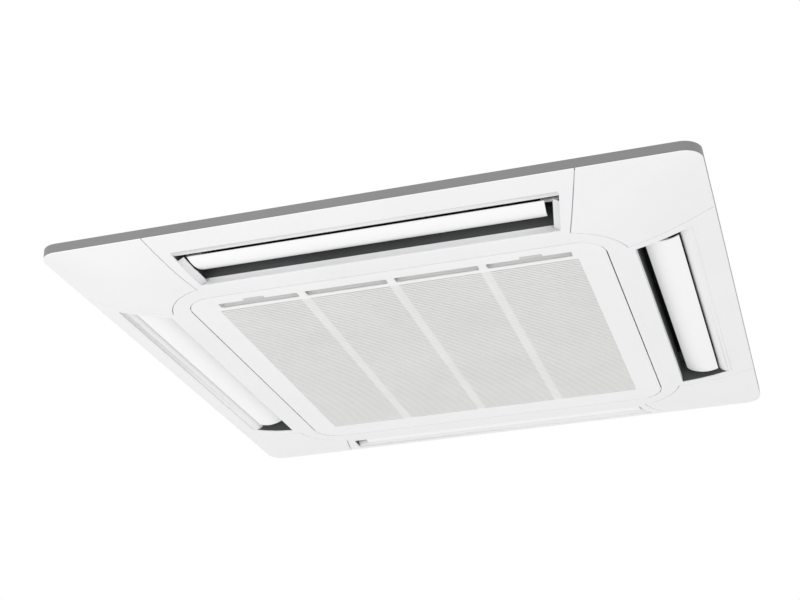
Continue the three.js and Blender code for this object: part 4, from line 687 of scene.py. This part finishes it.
def tree_named(name, **sockets):
    """A geometry node tree with its geometry in and out, and named inputs of each kind."""
    made = bpy.data.node_groups.new(name, "GeometryNodeTree")
    for way in ("INPUT", "OUTPUT"):
        made.interface.new_socket("Geometry", in_out=way, socket_type="NodeSocketGeometry")
    for kind, labels in sockets.items():
        for label in labels:
            made.interface.new_socket(label, in_out="INPUT", socket_type=f"NodeSocket{kind}")
    return made, made.nodes.new("NodeGroupInput").outputs


def block(tree, x, y, z):
    """A box of three sizes, in a geometry node tree."""
    size = node(tree, "ShaderNodeCombineXYZ", X=x, Y=y, Z=z)
    return node(tree, "GeometryNodeMeshCube", Size=size.outputs[0]).outputs["Mesh"]


def along(tree, lines, spacing):
    """Places at a spacing along the base mesh's edges."""
    curve = node(tree, "GeometryNodeMeshToCurve", Mesh=lines).outputs["Curve"]
    places = node(tree, "GeometryNodeResampleCurve", {"mode": "LENGTH"}, Curve=curve, Length=spacing)
    return places.outputs["Curve"]


def repeated(tree, shape, places, material, **rotation):
    """Puts a shape on each place, makes the copies real and gives them their material."""
    copies = node(tree, "GeometryNodeInstanceOnPoints", Points=places, Instance=shape, **rotation)
    real = node(tree, "GeometryNodeRealizeInstances", Geometry=copies.outputs[0])
    coloured = node(tree, "GeometryNodeSetMaterial", Geometry=real.outputs[0], Material=material)
    node(tree, "NodeGroupOutput", Geometry=coloured.outputs[0])


def grown(name, tree, base, values, body, smooth=35):
    """Runs a geometry node tree on a base mesh, and makes its result a plain piece on a body."""
    source = placed(name, base)
    grower = source.modifiers.new("grower", "NODES")
    grower.node_group = tree
    sockets = {s.name: s.identifier for s in tree.interface.items_tree if s.in_out == "INPUT"}
    for label, value in values.items():
        grower[sockets[label]] = value
    depsgraph = bpy.context.evaluated_depsgraph_get()
    mesh = bpy.data.meshes.new_from_object(source.evaluated_get(depsgraph), depsgraph=depsgraph)
    source.modifiers.remove(grower)
    source.data = mesh
    mesh.name = name
    on_body(source, body, smooth)


# Rows of slats: one bar along X, repeated along Y
slat_tree, asked = tree_named(
    "slat_rows", Int=["Rows"], Float=["First Row", "Pitch", "Length", "Width", "Depth", "Middle Height"],
    Material=["Plastic"],
)
start = node(slat_tree, "ShaderNodeCombineXYZ", Y=asked["First Row"], Z=asked["Middle Height"])
pitch = node(slat_tree, "ShaderNodeCombineXYZ", Y=asked["Pitch"])
rows = node(
    slat_tree, "GeometryNodeMeshLine", {"mode": "OFFSET"},
    Count=asked["Rows"], Start_Location=start.outputs[0], Offset=pitch.outputs[0],
)
slat = block(slat_tree, asked["Length"], asked["Width"], asked["Depth"])
repeated(slat_tree, slat, rows.outputs["Mesh"], asked["Plastic"])

row_count = int((FIELD_FAR - FIELD_NEAR - SLAT_PITCH + SLAT_WIDTH) / SLAT_PITCH)
first_row = (FIELD_FAR + FIELD_NEAR - (row_count - 1) * SLAT_PITCH) / 2
grown("grille_slats", slat_tree, bpy.data.meshes.new("no_base"), {
    "Rows": row_count, "First Row": first_row * MM, "Pitch": SLAT_PITCH * MM,
    "Length": (2 * FIELD_HALF_X + 1) * MM, "Width": SLAT_WIDTH * MM, "Depth": SLAT_DEPTH * MM,
    "Middle Height": (GRILLE_FACE + 0.5 + SLAT_DEPTH / 2) * MM, "Plastic": slat_plastic,
}, "grille")

rib_shell = bmesh.new()
rib_section = oblong(FIELD_NEAR - RIB_LAP, FIELD_FAR + RIB_LAP, GRILLE_FACE + 1.0, RIB_TOP)
for i in (-1, 0, 1):
    bar(rib_shell, rib_section, i * RIB_SPACING - RIB_WIDTH / 2, i * RIB_SPACING + RIB_WIDTH / 2)
piece("grille_ribs", rib_shell, slat_plastic, "grille")
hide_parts("intake_grille")

# ---- Grille latches ----
# Two grey slides in the finger slots. A fingertip pulls each one back, and its tongue leaves
# the panel's inner edge.
LATCH_GREY = (0.58, 0.58, 0.59)
latch_plastic = moulded_plastic("grey_latch_plastic", LATCH_GREY, 0.4, mottle=0.02)
for side in ("left", "right"):
    dressed(f"grille_latch_{side}", latch_plastic, 0.6)

# ---- Air filter ----
# A dark frame with crossed bars that carries a fine net, clipped above the grille. The net is
# woven of round threads.
FILTER_DARK = (0.045, 0.050, 0.055)
FILTER_HALF_X, FILTER_NEAR, FILTER_FAR = 264.0, -256.0, 260.0
NET_Z, NET_THICKNESS, NET_SCALE = -32.0, 0.4, 160.0

dressed("air_filter", moulded_plastic("filter_frame_plastic", FILTER_DARK, 0.6, mottle=0.1), 0.5)

net_material, tree, shader = material_named("filter_net", FILTER_DARK)
place = object_place(tree)
weave = maths(tree, "MAXIMUM", *(
    node(tree, "ShaderNodeTexWave", {"bands_direction": way}, Vector=place, Scale=NET_SCALE).outputs["Fac"]
    for way in ("X", "Y")
))
dark = tinted(tree, FILTER_DARK, spread(tree, weave, 0.35, 1.6, 0.2, 0.9))
bump = node(tree, "ShaderNodeBump", Strength=0.6, Distance=0.3 * MM, Height=weave)
fill(tree, shader, Base_Color=dark, Roughness=0.7, Normal=bump.outputs["Normal"])
net_shell = bmesh.new()
net_section = oblong(FILTER_NEAR, FILTER_FAR, NET_Z, NET_Z + NET_THICKNESS)
bar(net_shell, net_section, -FILTER_HALF_X, FILTER_HALF_X)
piece("filter_net", net_shell, net_material, "grille")

# ---- Cabinet ----
# The unit's case in the ceiling void: an eight-sided wall and a flat lid with two pressed beads,
# folded of 1.5 mm galvanised sheet. Rows of pan-head screws hold the flange, wall and lid.
CABINET_HALF, CABINET_CHAMFER = 420.0, 150.0
SCREW_ROWS_Z = (17.0, 246.0)
SCREW_SPACING, SCREW_END_GAP, SCREW_CUT_REACH = 88.0, 22, 50
HEAD_SIDES, HEAD_TAPER = 20, 0.62
ZINC, SCREW_ZINC = (0.58, 0.60, 0.62), (0.66, 0.66, 0.65)

galvanised = plated_metal("galvanised_sheet", ZINC, 70.0, 0.13, 0.36)
screw_metal = plated_metal("plated_screws", SCREW_ZINC, 900.0, 0.03, 0.28)
for name in ("cabinet_wall", "cabinet_top"):
    dressed(name, galvanised, 0.4)

# Rows of screw heads: each base edge is a row, and its "outward" attribute is the screws' axis
screw_tree, asked = tree_named(
    "screw_rows", Float=["Spacing", "Head Radius", "Head Height"], Material=["Metal"],
)
head = node(
    screw_tree, "GeometryNodeMeshCone", Vertices=HEAD_SIDES, Radius_Bottom=asked["Head Radius"],
    Radius_Top=maths(screw_tree, "MULTIPLY", asked["Head Radius"], HEAD_TAPER), Depth=asked["Head Height"],
)
outward = node(screw_tree, "GeometryNodeInputNamedAttribute", {"data_type": "FLOAT_VECTOR"}, Name="outward")
facing = node(
    screw_tree, "FunctionNodeAlignRotationToVector", {"axis": "Z"}, Vector=outward.outputs["Attribute"],
)
repeated(
    screw_tree, head.outputs["Mesh"], along(screw_tree, asked["Geometry"], asked["Spacing"]), asked["Metal"],
    Rotation=facing.outputs["Rotation"],
)


def screw_heads(name, rows, spacing, radius, height):
    """Screws along rows, each given by its middle, its half-length as a vector and its outward axis."""
    base = bpy.data.meshes.new(name)
    ends = [(middle + way * reach) * MM for middle, reach, _ in rows for way in (-1, 1)]
    base.from_pydata(ends, [(2 * i, 2 * i + 1) for i in range(len(rows))], [])
    axes = base.attributes.new("outward", "FLOAT_VECTOR", "POINT")
    for i, (_, _, axis) in enumerate(rows):
        axes.data[2 * i].vector = axes.data[2 * i + 1].vector = Vector(axis).normalized()
    grown(name, screw_tree, base, {
        "Spacing": spacing * MM, "Head Radius": radius * MM, "Head Height": height * MM, "Metal": screw_metal,
    }, "unit", 50)


wall_end = CABINET_HALF - CABINET_CHAMFER - SCREW_END_GAP
cut_middle = CABINET_HALF - CABINET_CHAMFER / 2
cabinet_rows = []
for z in SCREW_ROWS_Z:
    for ax, ay in ((1, 0), (0, 1), (-1, 0), (0, -1)):
        middle = Vector((ax * CABINET_HALF, ay * CABINET_HALF, z))
        cabinet_rows.append((middle, Vector((-ay, ax, 0)) * wall_end, (ax, ay, 0)))
    for sx, sy in CORNERS.values():
        middle = Vector((sx * cut_middle, sy * cut_middle, z))
        cabinet_rows.append((middle, Vector((-sx, sy, 0)) * SCREW_CUT_REACH, (sx, sy, 0)))
screw_heads("cabinet_screws", cabinet_rows, SCREW_SPACING, radius=4.2, height=2.4)

# ---- Lining ----
# A 12 mm lining of black closed-cell foam, moulded to the cabinet. It keeps the sheet from
# sweating and quietens the fan.
LINING_BLACK = (0.028, 0.029, 0.031)

# Foam: packed cells, each a small dimple
foam_group, asked, place = new_group("closed_cell_foam", {"Cell Scale": 500.0, "Contrast": 0.25})
cells = node(foam_group, "ShaderNodeTexVoronoi", Vector=place, Scale=asked["Cell Scale"])
blotch = spread(foam_group, noise(foam_group, place, 14.0, 3.0), -1.0, 1.0)
put_out(
    foam_group, Shade=maths(foam_group, "MULTIPLY_ADD", blotch, asked["Contrast"], 1.0),
    Height=cells.outputs["Distance"],
)


def foam(name, colour, cell_scale, contrast=0.25):
    """Closed-cell foam with a dimpled surface."""
    values = {"Cell_Scale": cell_scale, "Contrast": contrast}
    return surfaced(name, colour, foam_group, 0.5, 0.4, values, roughness=0.9)


dressed("insulation_liner", foam("black_lining_foam", LINING_BLACK, 420.0), 0.8)

# ---- Hanger brackets ----
# Four folded lugs on the cabinet's cut corners. Each has an open slot for an M10 suspension bolt
# and two screws on each side of it into the wall.
BRACKET_PLATE_X, BRACKET_PLATE_Y, BRACKET_PROUD = 363.0, 333.8, 0.4
BRACKET_SCREWS_Z, BRACKET_SCREW_REACH = (128.0, 170.0), 17
bracket_rows = []
for corner_name, (sx, sy) in CORNERS.items():
    dressed(f"hanger_bracket_{corner_name}", galvanised, 0.5)
    outwards = Vector((sx, sy, 0)).normalized() * BRACKET_PROUD
    reach = Vector((-sx, sy, 0)).normalized() * BRACKET_SCREW_REACH
    for z in BRACKET_SCREWS_Z:
        middle = Vector((sx * BRACKET_PLATE_X, sy * BRACKET_PLATE_Y, z)) + outwards
        bracket_rows.append((middle, reach, (sx, sy, 0)))
screw_heads("hanger_screws", bracket_rows, 2 * BRACKET_SCREW_REACH, radius=4.5, height=2.2)

# ---- Drain pan ----
# The tray under the coil: moulded in dark polystyrene foam, with a trough for the condensate, a
# sump for the pump and the four passages that the cold air goes down through.
PAN_BLACK = (0.040, 0.041, 0.043)
dressed("drain_pan", foam("dark_pan_foam", PAN_BLACK, 260.0, 0.15), 0.8)

# ---- Coil ----
# Aluminium fins on copper tubes, bent round three corners in front of the fan and open at the pipe
# corner. The tubes turn back in hairpins at the coil's two end plates.
COIL_OUTER, COIL_THICKNESS, COIL_RADIUS, COIL_END = 335.0, 38.0, 90.0, 215.0
BEND_STEPS = 8
FIN_PITCH, FIN_THICKNESS, FIN_PROUD, FIN_BOTTOM, FIN_TOP = 3.2, 0.5, 0.6, 33.0, 241.8
FIN_ALUMINIUM, FIN_SHADOW = (0.72, 0.75, 0.78), (0.16, 0.17, 0.18)

# Drawn metal: long fine scratches and a faint tarnish
drawn_group, asked, place = new_group(
    "drawn_metal", {"Scratch Scale": 300.0, "Tarnish": 0.12, "Roughness": 0.3},
)
scratches = noise(drawn_group, place, asked["Scratch Scale"], 4.0)
stain = spread(drawn_group, noise(drawn_group, place, 22.0, 3.0), -1.0, 1.0)
put_out(
    drawn_group, Height=scratches,
    Shade=maths(drawn_group, "MULTIPLY_ADD", stain, asked["Tarnish"], 1.0),
    Roughness=maths(drawn_group, "MULTIPLY_ADD", scratches, 0.2, asked["Roughness"]),
)


def drawn_metal(name, colour, roughness, tarnish, metallic=1.0):
    """Drawn or turned metal."""
    values = {"Tarnish": tarnish, "Roughness": roughness}
    return surfaced(name, colour, drawn_group, 0.1, 0.1, values, metallic)


fin_metal = drawn_metal("fin_aluminium", FIN_ALUMINIUM, 0.35, 0.05)
dressed("coil_fins", drawn_metal("fin_shadow", FIN_SHADOW, 0.6, 0.1, 0.4))

# Fins: a thin plate repeated along the coil's middle line and turned to stand across it
fin_tree, asked = tree_named("fin_row", Float=["Pitch", "Thickness", "Depth", "Height"], Material=["Metal"])
tangent = node(fin_tree, "GeometryNodeInputTangent")
across = node(fin_tree, "FunctionNodeAlignRotationToVector", {"axis": "X"}, Vector=tangent.outputs["Tangent"])
repeated(
    fin_tree, block(fin_tree, asked["Thickness"], asked["Depth"], asked["Height"]),
    along(fin_tree, asked["Geometry"], asked["Pitch"]), asked["Metal"], Rotation=across.outputs["Rotation"],
)

bend_radius = COIL_RADIUS - COIL_THICKNESS / 2
bend_centre = COIL_OUTER - COIL_RADIUS
line = [(COIL_END - 1, bend_centre + bend_radius)]
for quarter, (sx, sy) in enumerate(((-1, 1), (-1, -1), (1, -1)), 1):
    first = quarter * math.pi / 2
    line += arc(sx * bend_centre, sy * bend_centre, bend_radius, first, first + math.pi / 2, BEND_STEPS)
line.append((bend_centre + bend_radius, COIL_END - 1))
fin_base = bpy.data.meshes.new("fin_line")
middle_z = (FIN_BOTTOM + FIN_TOP) / 2
fin_base.from_pydata(
    [Vector((x, y, middle_z)) * MM for x, y in line], [(i, i + 1) for i in range(len(line) - 1)], [],
)
grown("coil_fin_plates", fin_tree, fin_base, {
    "Pitch": FIN_PITCH * MM, "Thickness": FIN_THICKNESS * MM, "Depth": (COIL_THICKNESS + 2 * FIN_PROUD) * MM,
    "Height": (FIN_TOP - FIN_BOTTOM) * MM, "Metal": fin_metal,
}, "unit")

# ---- Pipes ----
# Copper end plates' hairpins, the gas header and the two pipes out through the wall, each with a
# hexagonal brass flare nut.
COPPER, BRASS = (0.62, 0.32, 0.18), (0.72, 0.54, 0.24)
copper = drawn_metal("tube_copper", COPPER, 0.28, 0.18)
brass = drawn_metal("nut_brass", BRASS, 0.3, 0.1)
for name in ("coil_end_right", "coil_end_far", "gas_header", "gas_pipe", "liquid_pipe"):
    dressed(name, copper, smooth=50)
for name in ("gas_flare_nut", "liquid_flare_nut"):
    dressed(name, brass, 0.5, 40)

# ---- Bell mouth ----
# Black ABS inlet ring with a smooth bell, moulded in one piece with its plate. It leads the
# room's air into the fan.
BELL_BLACK = (0.030, 0.032, 0.034)
dressed("bell_mouth", moulded_plastic("bell_mouth_plastic", BELL_BLACK, 0.5, mottle=0.08), 0.3, 40)

# ---- Fan ----
# The turbo fan: a back plate with seven swept blades and a shroud ring, moulded in dark glass-filled
# plastic, pushed on the motor's shaft and held by a nut.
FAN_BLACK, TURNED_STEEL = (0.050, 0.052, 0.055), (0.56, 0.57, 0.58)
dressed("turbo_fan", moulded_plastic("fan_plastic", FAN_BLACK, 0.48, 0.06, 1800.0), 0.3, 40)
turned_steel = drawn_metal("turned_steel", TURNED_STEEL, 0.26, 0.05)
for name in ("fan_nut", "motor_shaft"):
    dressed(name, turned_steel, 0.4, 40)

# ---- Fan motor ----
# A flat motor with a painted aluminium shell, hung from the lid by a pressed steel bracket. Its
# shaft points down into the fan.
MOTOR_GREY = (0.20, 0.21, 0.225)
dressed("fan_motor", moulded_plastic("motor_shell_paint", MOTOR_GREY, 0.38, 0.05, 1500.0), 0.6, 40)
dressed("fan_motor_bracket", galvanised, 0.4, 40)

# ---- Control box ----
# A folded galvanised box under the bell mouth's plate, with a lid that pulls off downwards. It holds
# a terminal block for the supply and the circuit board.
BOX_SCREW_X, BOX_SCREW_Z = 120.0, -6.0
BOX_NEAR_Y, BOX_FAR_Y = 203.5, 251.5
for name in ("control_box", "control_box_cover"):
    dressed(name, galvanised, 0.3)
box_rows = [
    (Vector((0, y, BOX_SCREW_Z)), Vector((BOX_SCREW_X, 0, 0)), (0, way, 0))
    for y, way in ((BOX_NEAR_Y, -1), (BOX_FAR_Y, 1))
]
screw_heads("control_box_screws", box_rows, 2 * BOX_SCREW_X, radius=3.0, height=1.6)

# ---- Terminal block and circuit board ----
# Cream phenolic block with six screw terminals, and a green board with its relays, capacitors and
# heat sink.
TERMINAL_CREAM = (0.72, 0.69, 0.60)
BOARD_GREEN, TRACK_GREEN, GAP_GREEN = (0.020, 0.120, 0.055), (0.026, 0.150, 0.070), (0.045, 0.200, 0.100)
dressed("terminal_block", moulded_plastic("cream_terminal_plastic", TERMINAL_CREAM, 0.5, 0.04), 0.4)

board_lacquer, tree, shader = material_named("green_board_lacquer", BOARD_GREEN)
place = object_place(tree)
tracks = node(
    tree, "ShaderNodeTexBrick", Vector=place, Scale=190.0, Mortar_Size=0.03,
    Color1=(*BOARD_GREEN, 1), Color2=(*TRACK_GREEN, 1), Mortar=(*GAP_GREEN, 1),
)
gloss = spread(tree, noise(tree, place, 300.0), 0.25, 0.4)
fill(tree, shader, Base_Color=tracks.outputs["Color"], Roughness=gloss)
dressed("circuit_board", board_lacquer, 0.3)

# ---- Drain pump ----
# A small lift pump that hangs in the pan's sump: white chamber and motor, blue impeller, and a float
# switch beside it. A grey tube leads up to the drain socket in the far wall.
drain_materials = {
    "drain_pump": moulded_plastic("pump_plastic", (0.70, 0.70, 0.67), 0.45, mottle=0.03),
    "pump_impeller": moulded_plastic("blue_impeller_plastic", (0.060, 0.110, 0.230), 0.4, mottle=0.05),
    "float_switch": moulded_plastic("black_switch_plastic", (0.030, 0.030, 0.033), 0.45, mottle=0.08),
    "float": foam("cream_float_foam", (0.74, 0.70, 0.60), 700.0, 0.06),
    "drain_tube": moulded_plastic("grey_hose_vinyl", (0.32, 0.34, 0.36), 0.4, 0.06, 900.0, 0.05),
    "drain_socket": moulded_plastic("drain_socket_plastic", (0.62, 0.62, 0.61), 0.42, mottle=0.03),
}
for name, material in drain_materials.items():
    dressed(name, material, 0.0 if name == "drain_tube" else 0.3, 45)

# ---- Panel bolts ----
# Four M6 bolts of turned steel with cylindrical heads, up through the panel's sleeves into the
# cabinet's flange. The corner covers hide them.
for corner_name in CORNERS:
    dressed(f"panel_bolt_{corner_name}", turned_steel, 0.3, 40)

# ---- Photograph's view ----
# The camera stands below the ceiling on the latch side, turned a little to the left, and looks
# up at the panel. Its place was solved from the panel's, outlets' and grille's edges.
CAMERA_PLACE = (0.573752, -2.214068, -1.010137)
CAMERA_RIGHT = (0.957509, 0.287711, -0.019982)
CAMERA_UP = (0.138658, -0.398490, 0.906631)
CAMERA_BACK = (0.252885, -0.870878, -0.421451)
FOCAL_PIXELS, PICTURE_PIXELS = 1527.679, 800

view = bpy.data.cameras.new("photo_camera")
view.lens = FOCAL_PIXELS / PICTURE_PIXELS * view.sensor_width
camera = placed("photo_camera", view)
turn = Matrix((CAMERA_RIGHT, CAMERA_UP, CAMERA_BACK)).transposed()
camera.matrix_world = Matrix.Translation(CAMERA_PLACE) @ turn.to_4x4()
bpy.context.scene.camera = camera

# ---- Floor and ceiling board ----
# A plain pale floor under the camera, clear from underneath so that the panel shows from straight
# below, and the ceiling that the unit hangs in.
FLOOR_Z, FLOOR_HALF = -2.6, 14.0
FLOOR_WHITE = (0.9, 0.9, 0.9)


def mixed(tree, factor, first, second):
    """A mix of two shaders."""
    mix = tree.nodes.new("ShaderNodeMixShader")
    for socket, value in zip(mix.inputs, (factor, first, second)):
        put(tree, socket, value)
    return mix.outputs[0]


def one_sided(tree, front):
    """A shader that shows on the front of a face, and is clear from behind."""
    side = node(tree, "ShaderNodeNewGeometry").outputs["Backfacing"]
    return mixed(tree, side, front, node(tree, "ShaderNodeBsdfTransparent").outputs[0])


floor_material, tree, shader = material_named("pale_floor", FLOOR_WHITE)
place = object_place(tree)
faint = spread(tree, noise(tree, place, 1.5, 3.0), 0.985, 1.01)
fill(tree, shader, Base_Color=tinted(tree, FLOOR_WHITE, faint), Roughness=0.9)
fill(tree, tree.nodes["Material Output"], Surface=one_sided(tree, shader.outputs[0]))
floor_shell = bmesh.new()
bmesh.ops.create_grid(floor_shell, x_segments=1, y_segments=1, size=FLOOR_HALF)
bmesh.ops.translate(floor_shell, verts=floor_shell.verts, vec=(0, 0, FLOOR_Z))
floor = placed("floor", mesh_of("floor", floor_shell, floor_material))

# The white board rests on the rim's flange and shows only from below. It neither lights nor shades the unit
BOARD_HALF, BOARD_OPENING, BOARD_Z = 4.0, 0.445, 0.0004

board_white = bpy.data.materials.new("white_ceiling_board")
board_white.use_nodes = True
tree = board_white.node_tree
tree.nodes.clear()
white = node(tree, "ShaderNodeEmission", Color=(1, 1, 1, 1)).outputs[0]
node(tree, "ShaderNodeOutputMaterial", Surface=one_sided(tree, white))
board_shell = bmesh.new()
squares = [
    [board_shell.verts.new((x * half, y * half, BOARD_Z)) for x, y in CORNERS.values()]
    for half in (BOARD_OPENING, BOARD_HALF)
]
joined(board_shell, *squares)
board = placed("ceiling_board", mesh_of("ceiling_board", board_shell, board_white))
for ray in ("diffuse", "glossy", "transmission", "shadow"):
    setattr(board, f"visible_{ray}", False)

# ---- Surround and lamps ----
# A plain white surround that lights a little less than it shows, and three soft square lamps:
# two below the ceiling on the latch side, and one above for the views of the cabinet.
SURROUND_LEVEL = 0.955

world = bpy.data.worlds.new("surround")
bpy.context.scene.world = world
world.use_nodes = True
tree = world.node_tree
tree.nodes.clear()
rays = node(tree, "ShaderNodeLightPath").outputs
seen = maths(tree, "MAXIMUM", rays["Is Camera Ray"], rays["Is Glossy Ray"])
seen = maths(tree, "MAXIMUM", seen, rays["Is Transmission Ray"])
levels = (
    node(tree, "ShaderNodeBackground", Color=(1, 1, 1, 1), Strength=level).outputs[0]
    for level in (SURROUND_LEVEL, 1.0)
)
node(tree, "ShaderNodeOutputWorld", Surface=mixed(tree, seen, *levels))

# Each lamp faces the panel's middle, and isn't seen itself
for name, place, size, power in (
    ("lamp_near_left", (-1.6, -2.2, -1.1), 1.2, 10.5),
    ("lamp_near_right", (2.2, -1.8, -1.0), 1.2, 5.0),
    ("lamp_overhead", (-1.5, -2.0, 3.0), 2.0, 25.0),
):
    data = bpy.data.lights.new(name, "AREA")
    data.shape = "SQUARE"
    data.size = size
    data.energy = power
    lamp = placed(name, data)
    lamp.location = place
    lamp.rotation_euler = (-Vector(place)).to_track_quat("-Z", "Y").to_euler()
    lamp.visible_camera = False

bpy.context.scene.view_settings.view_transform = "Standard"
